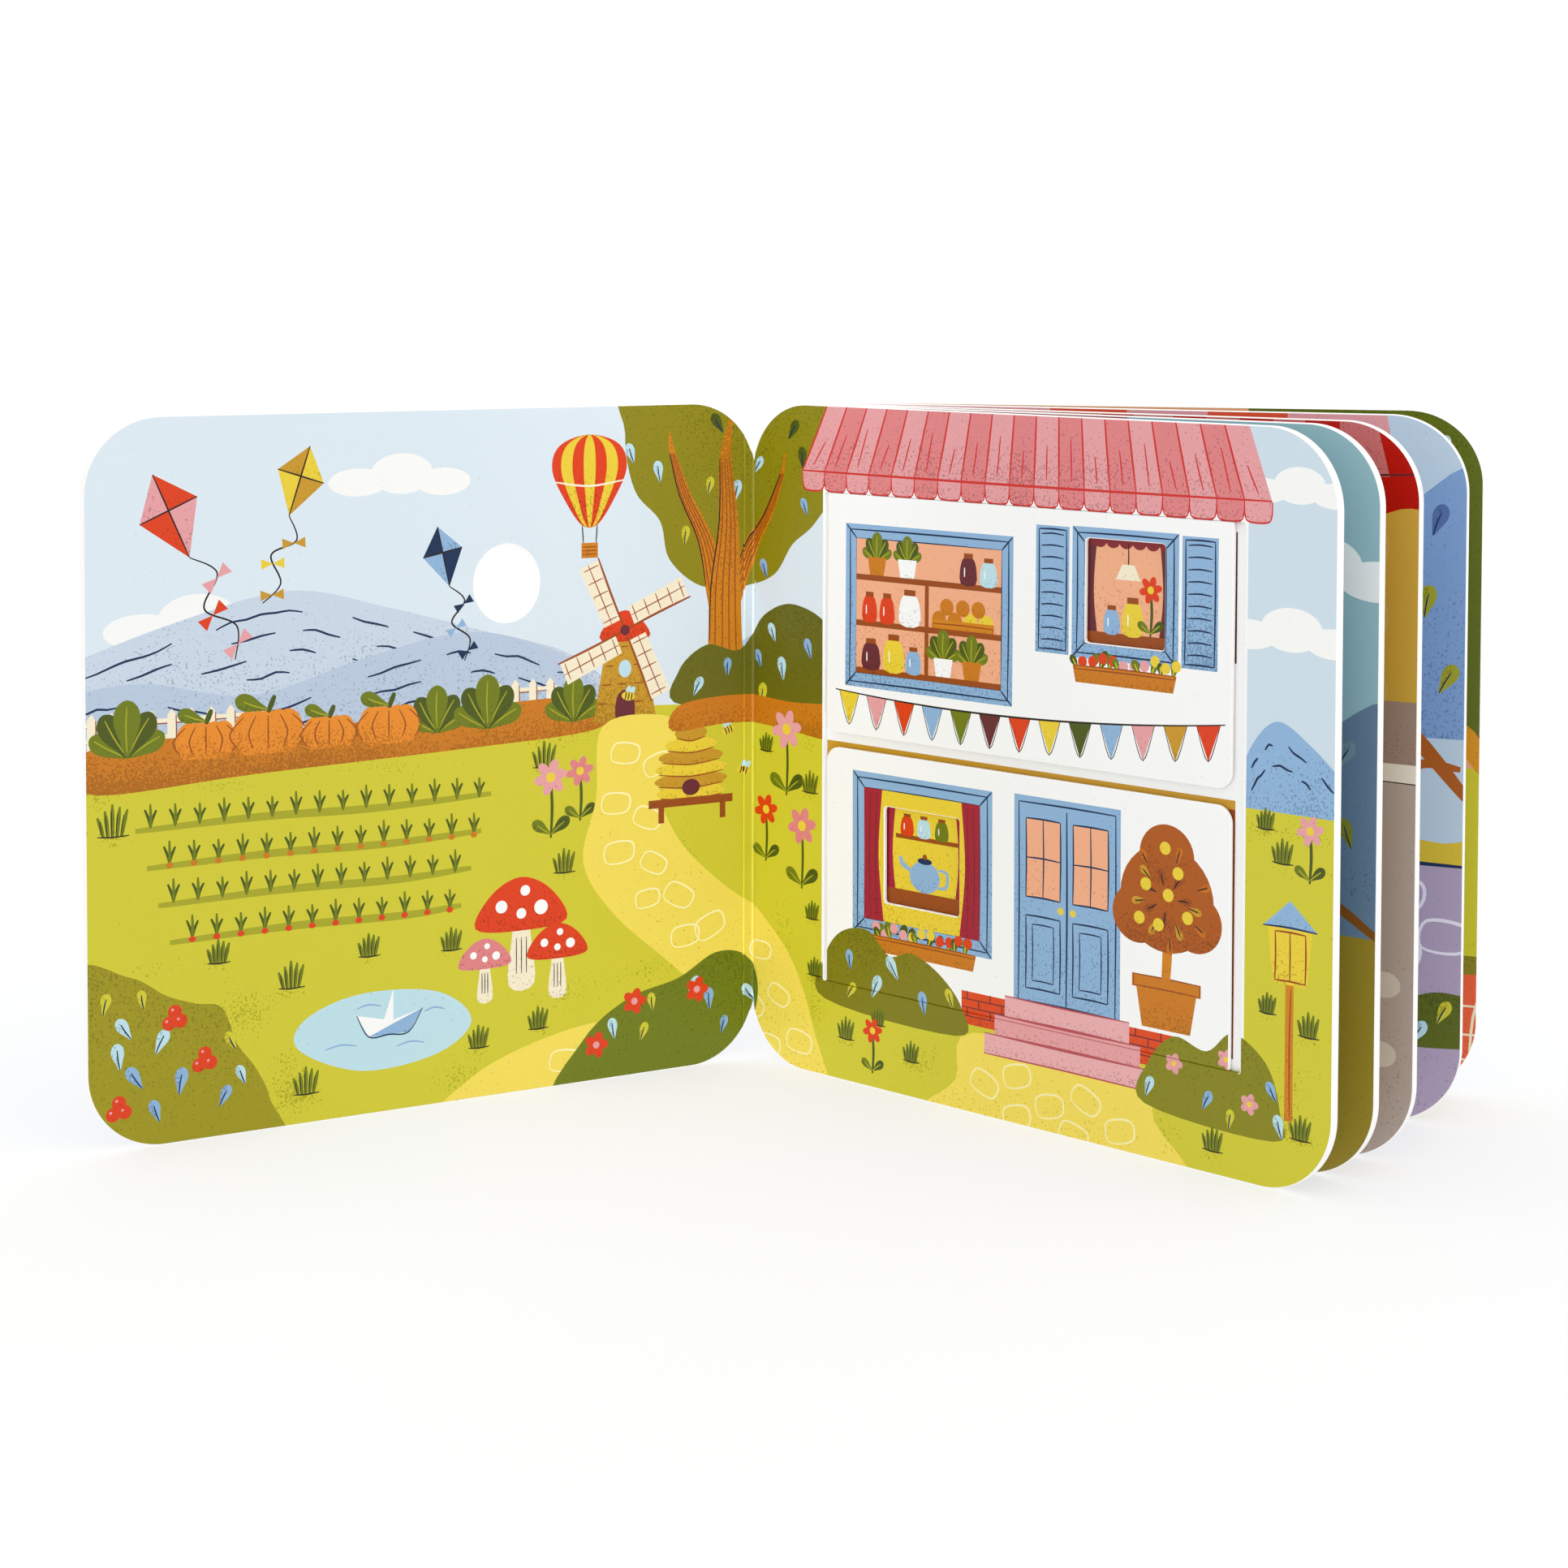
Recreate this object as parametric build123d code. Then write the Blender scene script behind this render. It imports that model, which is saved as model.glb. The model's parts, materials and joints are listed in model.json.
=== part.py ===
from build123d import *
import os
from math import atan2, cos, degrees, radians, sin, sqrt

os.makedirs("parts", exist_ok=True)

# Sizes in millimetres, angles in degrees.
# A children's board book stands open on its bottom edges. The front cover is swung to the
# left, four board leaves fan out to the right, and the back cover stands behind them.
# Seen from above, X runs to the right, Y away from the reader and Z up the spine.

# Pages and boards
page_width = 195.0
page_height = 190.0
corner_radius = 20.5
corner_overrun = 0.55        # the corner cutter's arc ends this far beyond the fold
board_thickness = 2.9
ply_thickness = 1.45         # front ply of the first leaf, which carries the flaps

# How the book stands open, as angles from the X axis seen from above
front_cover_angle = 29.6
leaf_angles = [42.9, 38.2, 33.0, 22.0]
back_cover_angle = 13.7
fold_line_angle = 28.0       # the line on which the leaves' folds follow each other

# Folds, joints and spine
fold_clearance = 0.3         # from a hinge line to the printed faces beside it
fold_depth = 0.4             # the leaves run this far past the fold line into the glue
joint_gap = 1.1              # from a hinge line to the edge of the cover's liner
joint_width = 3.0            # from a hinge line to the full board of a cover
liner_thickness = 0.8
crease_radius = 0.55
crease_lip = 2.0
lip_thickness = 0.4
back_hinge_set_in = 1.4      # the back cover's hinge line, in from the last leaf's fold
spine_thickness = 0.6
spine_start = 0.6
spine_end_inset = 17.5       # the spine strip stops short of the notched corners

# Round window through the front cover
hole_width = 19.8
hole_height = 21.6
hole_from_fold = 77.3
hole_from_floor = 141.8

# Margins of the front ply round the two flaps, and the slots between them
fold_margin = 27.4
fore_edge_margin = 26.8
bottom_margin = 27.2
top_margin = 24.3
left_slot = 1.2
right_slot = 3.4
middle_slot = 4.2
lower_flap_height = 66.9
flap_corner_radius = 4.4
flap_lift = 0.3              # how far a flap's free edge stands out of the page
flap_back_gap = 0.1
flap_root = 0.5              # a flap runs this far into the ply that it hangs on

# Windows cut through the flaps, from the slot at the left and from each flap's hinge
upper_window_inset = 90.3
upper_window_drop = 7.0
upper_window_width = 25.2
upper_window_height = 27.3
lower_window_inset = 21.6
lower_window_rise = 25.5
lower_window_width = 26.8
lower_window_height = 26.9

# The pocket that the flaps lie in, from the fold and from the bottom edge
pocket_left, pocket_right = fold_margin, page_width - fore_edge_margin
pocket_bottom, pocket_top = bottom_margin, page_height - top_margin
flap_left, flap_right = pocket_left + left_slot, pocket_right - right_slot
lower_flap_top = pocket_bottom + lower_flap_height
upper_flap_bottom = lower_flap_top + middle_slot

# Long enough for a cut to run right past the book
cutter_reach = 2 * (page_width + page_height)


def fold_notch():
    """Height of the corner cut where it meets the fold line."""
    run = corner_radius - corner_overrun
    return corner_radius - sqrt(corner_radius**2 - run**2)


def board(start, front, thickness):
    """A board with its fold on the Z axis. It runs along X from start to the fore edge."""
    full_width = page_width + corner_overrun
    centre = Pos((page_width - corner_overrun) / 2, page_height / 2)
    outline = centre * RectangleRounded(full_width, page_height, corner_radius)
    beyond = Rectangle(cutter_reach, cutter_reach, align=(Align.MAX, Align.CENTER))
    outline -= Pos(start, 0) * beyond
    return Pos(0, front + thickness, 0) * extrude(Plane.XZ * outline, amount=thickness)


def page_box(left, right, bottom, top, front, back):
    """A box in a leaf's own frame: along the page, up the page and into the board."""
    size = Box(right - left, back - front, top - bottom, align=(Align.MIN, Align.MIN, Align.MIN))
    return Pos(left, front, bottom) * size


def crease():
    """The rounded fold of a printed sheet, standing on a hinge line between the notches."""
    length = page_height - 2 * fold_notch()
    bead = Cylinder(crease_radius, length, align=(Align.CENTER, Align.CENTER, Align.MIN))
    return Pos(0, 0, fold_notch()) * bead


def right_hand(shape, fold_point, angle):
    """Stands a right-hand board at its fold point, leaning towards the reader."""
    return Pos(fold_point.X, fold_point.Y, 0) * Rot(0, 0, -angle) * shape


def along(angle, distance):
    """Plan vector of a right-hand board's direction."""
    return Vector(cos(radians(angle)), -sin(radians(angle))) * distance


def behind(angle, distance):
    """Plan vector square to a right-hand board, away from the reader."""
    return Vector(sin(radians(angle)), cos(radians(angle))) * distance


def fold_points():
    """Where each leaf's fold stands: a leaf starts where the one before it ends."""
    points = [Vector(0, 0)]
    for angle in leaf_angles[:-1]:
        step = board_thickness / sin(radians(angle + fold_line_angle))
        points.append(points[-1] + along(-fold_line_angle, step))
    return points


def window(left, bottom, width, height):
    """The outline of a window cut through a flap."""
    return Pos(left, bottom) * Rectangle(width, height, align=(Align.MIN, Align.MIN))


def flap(hinge_height, free_height, window_cut):
    """A flap cut out of the front ply, hinged at its scored edge and a little lifted."""
    direction = 1 if free_height > hinge_height else -1
    root_height = hinge_height - direction * flap_root
    low, high = min(root_height, free_height), max(root_height, free_height)
    blank = Rectangle(flap_right - flap_left, high - low, align=(Align.MIN, Align.MIN))
    outline = Pos(flap_left, low) * blank
    free_corners = outline.vertices().group_by(Axis.Y)[-1 if direction > 0 else 0]
    outline = fillet(free_corners, flap_corner_radius) - window_cut
    thickness = ply_thickness - flap_back_gap
    back = fold_clearance + thickness
    plate = extrude(Plane.XZ * outline, amount=thickness)
    lift = degrees(atan2(flap_lift, abs(free_height - hinge_height)))
    at_hinge = Pos(0, back, hinge_height)
    return at_hinge * Rot(direction * lift, 0, 0) * Pos(0, 0, -hinge_height) * plate


def plain_leaf():
    """A leaf with no flaps."""
    return board(-corner_overrun, fold_clearance, board_thickness)


def first_leaf():
    """The leaf with two flaps: its front ply is slotted round them down to the inner ply."""
    leaf = plain_leaf()
    floor = fold_clearance + ply_thickness
    leaf -= page_box(pocket_left, pocket_right, pocket_bottom, pocket_top, 0, floor)
    sill = pocket_top - upper_window_drop - upper_window_height
    upper_left = flap_left + upper_window_inset
    upper = window(upper_left, sill, upper_window_width, upper_window_height)
    lower_left, lower_sill = flap_left + lower_window_inset, pocket_bottom + lower_window_rise
    lower = window(lower_left, lower_sill, lower_window_width, lower_window_height)
    leaf += flap(pocket_top, upper_flap_bottom, upper)
    leaf += flap(pocket_bottom, lower_flap_top, lower)
    return leaf


def back_hinge_point():
    """The hinge line between the last leaf and the back cover."""
    angle = leaf_angles[-1]
    depth = fold_clearance + board_thickness + fold_clearance
    return fold_points()[-1] + behind(angle, depth) + along(angle, back_hinge_set_in)


def last_crease_lip():
    """The printed sheet that runs off the last leaf's back to the back cover's crease."""
    back = fold_clearance + board_thickness
    left, right = back_hinge_set_in, back_hinge_set_in + crease_lip
    low, high = fold_notch(), page_height - fold_notch()
    return page_box(left, right, low, high, back - lip_thickness, back)


def make_page_block():
    """Four leaves fanned out from their glued folds, with the creases of the end sheets."""
    block = right_hand(first_leaf(), fold_points()[0], leaf_angles[0])
    for angle, point in zip(leaf_angles[1:], fold_points()[1:]):
        block += right_hand(plain_leaf(), point, angle)
    beyond_spine = Box(
        cutter_reach, cutter_reach, cutter_reach, align=(Align.CENTER, Align.MIN, Align.CENTER)
    )
    block -= Rot(0, 0, fold_line_angle) * Pos(0, fold_depth, 0) * beyond_spine
    block += crease()
    block += right_hand(last_crease_lip(), fold_points()[-1], leaf_angles[-1])
    hinge = back_hinge_point()
    block += Pos(hinge.X, hinge.Y, 0) * crease()
    return block


def cover_board():
    """A cover in its own frame: a full board, thinned to its liner in the hinge joint."""
    full = board(joint_width, fold_clearance, board_thickness)
    liner = board(joint_gap, fold_clearance, liner_thickness)
    return full + liner


def make_front_cover():
    """The front cover, swung to the reader's left, with the round window through it."""
    window = Pos(hole_from_fold, hole_from_floor) * Ellipse(hole_width / 2, hole_height / 2)
    depth = fold_clearance + 2 * board_thickness
    cutter = Pos(0, depth, 0) * extrude(Plane.XZ * window, amount=2 * depth)
    cover = mirror(cover_board() - cutter, about=Plane.XZ)
    return Rot(0, 0, 180 + front_cover_angle) * cover


def make_back_cover():
    """The back cover, behind the last leaf."""
    return right_hand(cover_board(), back_hinge_point(), back_cover_angle)


def make_spine():
    """The spine strip, glued along the ends of the leaves between the two covers."""
    hinge = back_hinge_point()
    angle = radians(fold_line_angle)
    end = hinge.X * cos(angle) + hinge.Y * sin(angle) - joint_gap
    low, high = spine_end_inset, page_height - spine_end_inset
    outside = fold_depth + spine_thickness
    strip = page_box(spine_start, end, low, high, fold_depth, outside)
    return Rot(0, 0, fold_line_angle) * strip


nodes = {
    "page_block": make_page_block(),
    "front_cover": make_front_cover(),
    "spine": make_spine(),
    "back_cover": make_back_cover(),
}

# The origin is the middle of the book's footprint, on the surface that it stands on
extent = Compound(children=[Part() + shape for shape in nodes.values()]).bounding_box()
to_origin = Pos(-extent.center().X, -extent.center().Y, -extent.min.Z)

for name, shape in nodes.items():
    export_step(to_origin * shape, f"parts/{name}.step")

front_hinge = to_origin * Pos(0, 0, 0)
back_hinge = to_origin * Pos(back_hinge_point().X, back_hinge_point().Y, 0)
print("size", extent.size)
print("front cover hinge line at", front_hinge.position)
print("back cover hinge line at", back_hinge.position)
print("front cover opens flat by", front_cover_angle + leaf_angles[0])
print("front cover closes by", 180 - front_cover_angle - leaf_angles[0])
print("back cover closes by", leaf_angles[-1] - back_cover_angle)
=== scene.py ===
# %% [markdown]
# Dressing a children's board book.
# The packed model gives the construction: two covers, a fan of thick board leaves and a
# spine strip. This lesson gives it its looks: printed and laminated faces, white die-cut
# edges, lift flaps, creases and a soft studio. Every printed face is a real mesh, cut into
# fields of colour by a triangulator, so the print needs no image.

import json
import math
import random

import bpy
from mathutils import Matrix, Vector
from mathutils.geometry import delaunay_2d_cdt
import numpy as np


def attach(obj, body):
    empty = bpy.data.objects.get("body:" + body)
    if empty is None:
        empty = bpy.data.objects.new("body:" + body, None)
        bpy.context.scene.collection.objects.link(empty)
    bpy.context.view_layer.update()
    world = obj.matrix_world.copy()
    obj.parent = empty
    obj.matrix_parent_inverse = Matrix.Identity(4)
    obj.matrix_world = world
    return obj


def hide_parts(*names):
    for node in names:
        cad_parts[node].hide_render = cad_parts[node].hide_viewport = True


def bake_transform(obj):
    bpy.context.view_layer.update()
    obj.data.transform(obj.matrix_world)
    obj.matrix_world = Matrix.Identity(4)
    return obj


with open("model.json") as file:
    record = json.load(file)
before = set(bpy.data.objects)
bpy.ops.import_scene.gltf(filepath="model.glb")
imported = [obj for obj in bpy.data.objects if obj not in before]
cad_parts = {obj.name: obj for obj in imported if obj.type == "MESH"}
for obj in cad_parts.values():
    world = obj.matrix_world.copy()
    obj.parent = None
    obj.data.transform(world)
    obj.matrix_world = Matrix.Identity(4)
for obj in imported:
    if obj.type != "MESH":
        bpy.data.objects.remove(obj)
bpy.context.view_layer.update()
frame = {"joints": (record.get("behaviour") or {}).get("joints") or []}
hinge = {joint["name"]: Vector(joint["pos_m"]) for joint in frame["joints"]}

# %% [markdown]
# The real book has pages of 195 by 190 mm with round corners, cut from board 2.9 mm thick.
# The folds of the leaves follow each other along one slanting glued line, and each leaf leans
# towards the reader by its own angle. The same few sizes place every mesh below, measured
# from the front cover's hinge line, which the frame gives, so the meshes and the solids agree.

# %% Sizes of the book, in millimetres and degrees
MM = 0.001
PAGE_W, PAGE_H = 195.0, 190.0
CORNER, CORNER_OVERRUN = 20.5, 0.55
BOARD, PLY = 2.9, 1.45
FACE = 0.3                    # a printed face stands this far behind its hinge line
EDGE = 0.22                   # the pressed rim where a face turns into its cut edge
COVER_START = 3.0             # where a cover's full board begins, beyond its joint
FOLD_LINE, FOLD_DEPTH = 28.0, 0.4
COVER_LEAN = 29.6
LEAF_LEANS = (42.9, 38.2, 33.0, 22.0)
BACK_LEAN = 13.7
gutter = hinge["front_cover_hinge"].xy / MM
back_fold = hinge["back_cover_hinge"].xy / MM


def plan(angle, length=1.0):
    """A vector seen from above, at an angle from the X axis."""
    turn = math.radians(angle)
    return Vector((math.cos(turn), math.sin(turn))) * length


def fold_points():
    """Where each leaf's fold stands, seen from above."""
    points = [gutter.copy()]
    for lean in LEAF_LEANS[:-1]:
        step = BOARD / math.sin(math.radians(lean + FOLD_LINE))
        points.append(points[-1] + plan(FOLD_LINE, step))
    return points


FOLDS = fold_points()
print("folds at", [tuple(round(c, 2) for c in p) for p in FOLDS])

# %% [markdown]
# A page is printed flat and only then stands at its angle, and the meshes are made the same
# way: x along the page from its fold, y up the page, and depth into the board. A small class
# turns such a point into its place on the standing leaf. The front cover is the left-hand
# half of the spread, so its x runs below zero.


# %% Where each board stands
class Stand:
    """A board standing on its bottom edge: flat page coordinates in, metres out."""

    def __init__(self, fold, heading, behind):
        self.fold, self.along, self.behind = fold, plan(heading), plan(behind)

    def point(self, x, y, depth):
        """Where a point of the flat page stands, in metres."""
        flat = self.fold + self.along * x + self.behind * depth
        return Vector((flat.x * MM, flat.y * MM, y * MM))


def right_hand(fold, lean):
    """The stand of a board at the reader's right."""
    return Stand(fold, -lean, 90 - lean)


leaf_stands = [right_hand(fold, lean) for fold, lean in zip(FOLDS, LEAF_LEANS)]
back_stand = right_hand(back_fold, BACK_LEAN)
front_stand = Stand(gutter, COVER_LEAN, 90 + COVER_LEAN)
print("front cover fore edge at", front_stand.point(-PAGE_W, 0, 0))

# %% [markdown]
# The camera stands where the photograph was taken: a little above the middle of the book
# and almost level, with a long lens. The frame is shifted down in place of tilting, so the
# upright edges stay nearly upright.

# %% Camera
CAMERA_FROM_GUTTER = Vector((8.71, -841.84))
CAMERA_HEIGHT = 228.96
PITCH_DOWN, ROLL = 2.5, 0.159
SENSOR, LENS = 36.0, 67.4175
SHIFT_Y = -0.24828

camera_data = bpy.data.cameras.new("camera")
camera_data.sensor_width = SENSOR
camera_data.lens = LENS
camera_data.shift_y = SHIFT_Y
camera = bpy.data.objects.new("camera", camera_data)
tilt = Matrix.Rotation(math.radians(90 - PITCH_DOWN), 4, "X")
roll = Matrix.Rotation(math.radians(ROLL), 4, "Z")
place = Vector((*(gutter + CAMERA_FROM_GUTTER), CAMERA_HEIGHT)) * MM
camera.matrix_world = Matrix.Translation(place) @ tilt @ roll
bpy.context.scene.collection.objects.link(camera)
bpy.context.scene.camera = camera
print("camera at", tuple(round(c, 3) for c in place))

# %% [markdown]
# Colours are written as sRGB hex values, as a print designer would give them, and one function
# turns them into the linear values that Cycles works in. A material is a small tree of nodes,
# and one function adds a node with its settings and links, so each material stays short.


# %% Colours and nodes
def linear(hexcode):
    """An sRGB hex colour as linear red, green, blue and alpha."""
    parts = [int(hexcode[i : i + 2], 16) / 255 for i in (0, 2, 4)]
    return (*[p / 12.92 if p <= 0.04045 else ((p + 0.055) / 1.055) ** 2.4 for p in parts], 1.0)


def add(tree, kind, settings=None, **links):
    """Adds a node. Settings go to its properties or sockets, links to its sockets by name."""
    node = tree.nodes.new("ShaderNode" + kind)
    for key, value in (settings or {}).items():
        if isinstance(key, str) and hasattr(node, key):
            setattr(node, key, value)
        else:
            node.inputs[key].default_value = value
    for key, output in links.items():
        slot = int(key[1:]) if key[1:].isdigit() else key.replace("_", " ")
        tree.links.new(output, node.inputs[slot])
    return node


def new_material(name):
    """An empty material with its output, ready for nodes."""
    made = bpy.data.materials.new(name)
    made.use_nodes = True
    made.node_tree.nodes.clear()
    return made, made.node_tree


print("white is", linear("FFFFFF"))

# %% [markdown]
# A product studio: a white sweep, a broad soft light above and a gentle fill from the front,
# so that the laminated boards stay even and only a soft shadow gathers where the book stands.
# The sweep glows a little, because a real one is lit until it clips to white. An open book
# shades its own fold, so a tall narrow lamp with a grid, which keeps its beam tight, lifts it.

# %% Studio floor and lights
FLOOR_SIZE = 12.0
SWEEP_GLOW = 0.622
sweep, tree = new_material("matt_white_paper_sweep")
surface = add(tree, "BsdfPrincipled", {"Base Color": linear("9C9C9C"), "Roughness": 0.9,
              "Emission Color": linear("FFFFFF"), "Emission Strength": SWEEP_GLOW})
add(tree, "OutputMaterial", Surface=surface.outputs["BSDF"])
bpy.ops.mesh.primitive_plane_add(size=FLOOR_SIZE)
floor = bpy.context.active_object
floor.name = "studio_floor"
floor.data.materials.append(sweep)

world = bpy.data.worlds.new("studio")
world.use_nodes = True
world.node_tree.nodes["Background"].inputs["Color"].default_value = linear("FFFFFF")
world.node_tree.nodes["Background"].inputs["Strength"].default_value = 1.0
bpy.context.scene.world = world
bpy.context.scene.view_settings.view_transform = "Standard"


def area_light(name, where, aim, size, watts):
    """A round soft light that looks at a point. Gives back its data, to change its shape."""
    data = bpy.data.lights.new(name, "AREA")
    data.shape, data.size, data.energy = "DISK", size, watts
    lamp = bpy.data.objects.new(name, data)
    lamp.location = where
    lamp.rotation_euler = (Vector(aim) - Vector(where)).to_track_quat("-Z", "Y").to_euler()
    bpy.context.scene.collection.objects.link(lamp)
    return data


BOOK_MIDDLE = (0, 0, 0.09)
area_light("overhead_softbox", (0.45, -0.3, 1.25), BOOK_MIDDLE, 1.1, 2.3)
area_light("front_fill", (0.9, -1.4, 0.7), BOOK_MIDDLE, 1.0, 0.5)
FOLD_MIDDLE = (*(gutter * MM), 0.09)
grid = area_light("gridded_strip_lamp", (-0.45, -0.95, 0.3), FOLD_MIDDLE, 0.06, 0.019)
grid.shape, grid.size_y, grid.spread = "RECTANGLE", 0.34, math.radians(9)

# %% [markdown]
# The faces are paper printed in offset inks, laminated with a clear film and pressed on to
# white board. The film is polypropylene, so its IOR is about 1.48, and its satin surface
# gives a soft even gloss. The inks imitate gouache: flat fields with a fine spray of darker
# dots that thickens towards one side of each shape. An image would be the usual way to print
# them. Here each face of the mesh carries its ink, and each corner a number that says how
# thick the spray is there, so one material serves every page and stays sharp close up.

# %% Printed and laminated board
SPRAY_DOT = 0.30              # mm between spray dots
SPRAY_DRIFT = 26.0            # mm across the patches where the spray thins and thickens
SPRAY_SHADE = 0.62            # how dark the dots are against their ink
FILM_ROUGHNESS, FILM_IOR, FILM_LEVEL = 0.34, 1.48, 0.28
FILM_COAT, FILM_COAT_ROUGHNESS = 0.08, 0.18
FILM_SHINE = 0.026            # white that the film reflects, taken off the inks beneath


def laminated_print():
    """The printed face: inks from the mesh, their spray of dots, and the film on top."""
    made, tree = new_material("laminated_offset_print")
    ink = add(tree, "Attribute", {"attribute_name": "ink"})
    spray = add(tree, "Attribute", {"attribute_name": "spray"})
    place = add(tree, "TexCoord")
    dots = add(tree, "TexNoise", {"Scale": 0.5 / (SPRAY_DOT * MM), "Detail": 0.0},
               Vector=place.outputs["Object"])
    clouds = add(tree, "TexNoise", {"Scale": 1 / (SPRAY_DRIFT * MM), "Detail": 2.0},
                 Vector=place.outputs["Object"])
    drift = add(tree, "MapRange", {"To Min": 0.7, "To Max": 1.3, "From Min": 0.3, "From Max": 0.7},
                Value=clouds.outputs["Fac"])
    thick = add(tree, "Math", {"operation": "MULTIPLY"}, _0=spray.outputs["Fac"], _1=drift.outputs[0])
    edge = add(tree, "MapRange", {"To Min": 0.82, "To Max": 0.24}, Value=thick.outputs[0])
    over = add(tree, "Math", {"operation": "SUBTRACT"}, _0=dots.outputs["Fac"], _1=edge.outputs[0])
    mask = add(tree, "MapRange", {"From Max": 0.12, "To Max": 0.8}, Value=over.outputs[0])
    dark = add(tree, "HueSaturation", {"Saturation": 1.1, "Value": SPRAY_SHADE},
               Color=ink.outputs["Color"])
    mixed = add(tree, "Mix", {"data_type": "RGBA"}, _0=mask.outputs[0],
                _6=ink.outputs["Color"], _7=dark.outputs["Color"])
    film = {"Roughness": FILM_ROUGHNESS, "IOR": FILM_IOR, "Specular IOR Level": FILM_LEVEL,
            "Coat Weight": FILM_COAT, "Coat Roughness": FILM_COAT_ROUGHNESS}
    shader = add(tree, "BsdfPrincipled", film, Base_Color=mixed.outputs[2])
    add(tree, "OutputMaterial", Surface=shader.outputs["BSDF"])
    return made


PRINT = laminated_print()
print("material", PRINT.name)

# %% [markdown]
# The die leaves the edge of the board bare: white pulp, matt, and slightly fibrous where the
# blade has crushed it. Fine noise varies its white and raises it by about a hundredth of a
# millimetre. Flat white would look like plastic.

# %% Bare cut board
FIBRE = 0.9                   # mm, coarser than the real fibres, so that it shows
FIBRE_RISE = 0.04             # mm


def cut_board():
    """The bare edge: bright fibrous white."""
    made, tree = new_material("die_cut_white_board")
    place = add(tree, "TexCoord")
    fibre = add(tree, "TexNoise", {"Scale": 1 / (FIBRE * MM), "Detail": 4.0},
                Vector=place.outputs["Object"])
    tone = add(tree, "Mix", {"data_type": "RGBA", 6: linear("FAF9F5"), 7: linear("FFFFFF")},
               _0=fibre.outputs["Fac"])
    bump = add(tree, "Bump", {"Strength": 0.25, "Distance": FIBRE_RISE * MM},
               Height=fibre.outputs["Fac"])
    shader = add(tree, "BsdfPrincipled", {"Roughness": 0.78, "IOR": 1.45},
                 Base_Color=tone.outputs[2], Normal=bump.outputs["Normal"])
    add(tree, "OutputMaterial", Surface=shader.outputs["BSDF"])
    return made


CUT = cut_board()
print("material", CUT.name)

# %% [markdown]
# The illustrator of such a book paints simple shapes over each other, with brush lines on
# top. A few small tools draw all of them: an oval, a smooth line through chosen points, a
# band of changing width, and a stroke that swells in the middle as a brush line does. Each
# gives back a loop of points, which is easier to change than a drawn curve object.


# %% Drawing tools
def oval(cx, cy, rx, ry=None, steps=28, turn=0.0):
    """Points round an ellipse."""
    ry = rx if ry is None else ry
    tilt = math.radians(turn)
    loop = []
    for step in range(steps):
        angle = 2 * math.pi * step / steps
        x, y = rx * math.cos(angle), ry * math.sin(angle)
        loop.append((cx + x * math.cos(tilt) - y * math.sin(tilt),
                     cy + x * math.sin(tilt) + y * math.cos(tilt)))
    return loop


def smooth(points, steps=6, closed=True):
    """A smooth line through a few points, as a Catmull-Rom curve."""
    count = len(points)
    line = []
    for i in range(count if closed else count - 1):
        if closed:
            a, b, c, d = (points[(i + k) % count] for k in (-1, 0, 1, 2))
        else:
            a, b, c, d = (points[min(max(i + k, 0), count - 1)] for k in (-1, 0, 1, 2))
        for step in range(steps):
            t = step / steps
            line.append(tuple(
                0.5 * (2 * q + (r - p) * t + (2 * p - 5 * q + 4 * r - s) * t * t
                       + (3 * q - p - 3 * r + s) * t ** 3)
                for p, q, r, s in zip(a, b, c, d)))
    return line if closed else line + [tuple(points[-1])]


def limb(points, steps=5):
    """A band along a smooth line: each point gives a place and the band's width there."""
    line = smooth(points, steps, closed=False)
    left, right = [], []
    for i, (x, y, wide) in enumerate(line):
        ahead, back = line[min(i + 1, len(line) - 1)], line[max(i - 1, 0)]
        side = Vector((back[1] - ahead[1], ahead[0] - back[0])).normalized() * wide / 2
        left.append((x + side.x, y + side.y))
        right.append((x - side.x, y - side.y))
    return left + right[::-1]


def stroke(points, width, steps=5, tips=0.35):
    """An ink line of some width along a smooth open line, thinner at its tips."""
    line = smooth(points, steps, closed=False)
    swell = [math.sin(math.pi * (0.12 + 0.76 * i / (len(line) - 1))) for i in range(len(line))]
    return limb([(*spot, width * (tips + (1 - tips) * s)) for spot, s in zip(line, swell)], 1)


def box_loop(x0, y0, x1, y1):
    """The corners of a rectangle."""
    return [(x0, y0), (x1, y0), (x1, y1), (x0, y1)]


print("an oval has", len(oval(0, 0, 1)), "points")

# %% [markdown]
# A picture is a list of such shapes in painting order. Each has an ink and a spray: how thick
# its dots are at the bottom and at the top. Shapes run a bleed past the page, as a printer's
# do, and the die cuts them off. The inks are darkened by the white that the film reflects.


# %% A picture, before it is cut
BLEED = 9.0


class Picture:
    """Shapes in painting order, the last one on top."""

    def __init__(self, ink, spray=(0.0, 0.0)):
        self.shapes, self.dusts, self.painted_crease_highlights = [], [], []
        self.paint(box_loop(-PAGE_W - BLEED, -BLEED, PAGE_W + BLEED, PAGE_H + BLEED), ink, spray)

    def paint(self, loop, ink, spray=(0.0, 0.0)):
        """Adds a shape; spray says how thick the dots are at its bottom and its top."""
        points = np.array(loop, float)
        low, high = points[:, 1].min(), points[:, 1].max()
        slope = (spray[1] - spray[0]) / max(high - low, 0.001)
        under = [max(part - FILM_SHINE, 0.002) for part in linear(ink)[:3]]
        self.shapes.append((points, (*under, 1.0), spray[0], slope, low))

    def line(self, points, width, ink):
        """Adds a brush line along some points."""
        self.paint(stroke(points, width), ink)

    def dust(self, x, y, across, up, thick=0.5):
        """Thickens the spray round a spot, on the shapes painted before it."""
        self.dusts.append((x, y, across, up, thick, len(self.shapes)))


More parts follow.
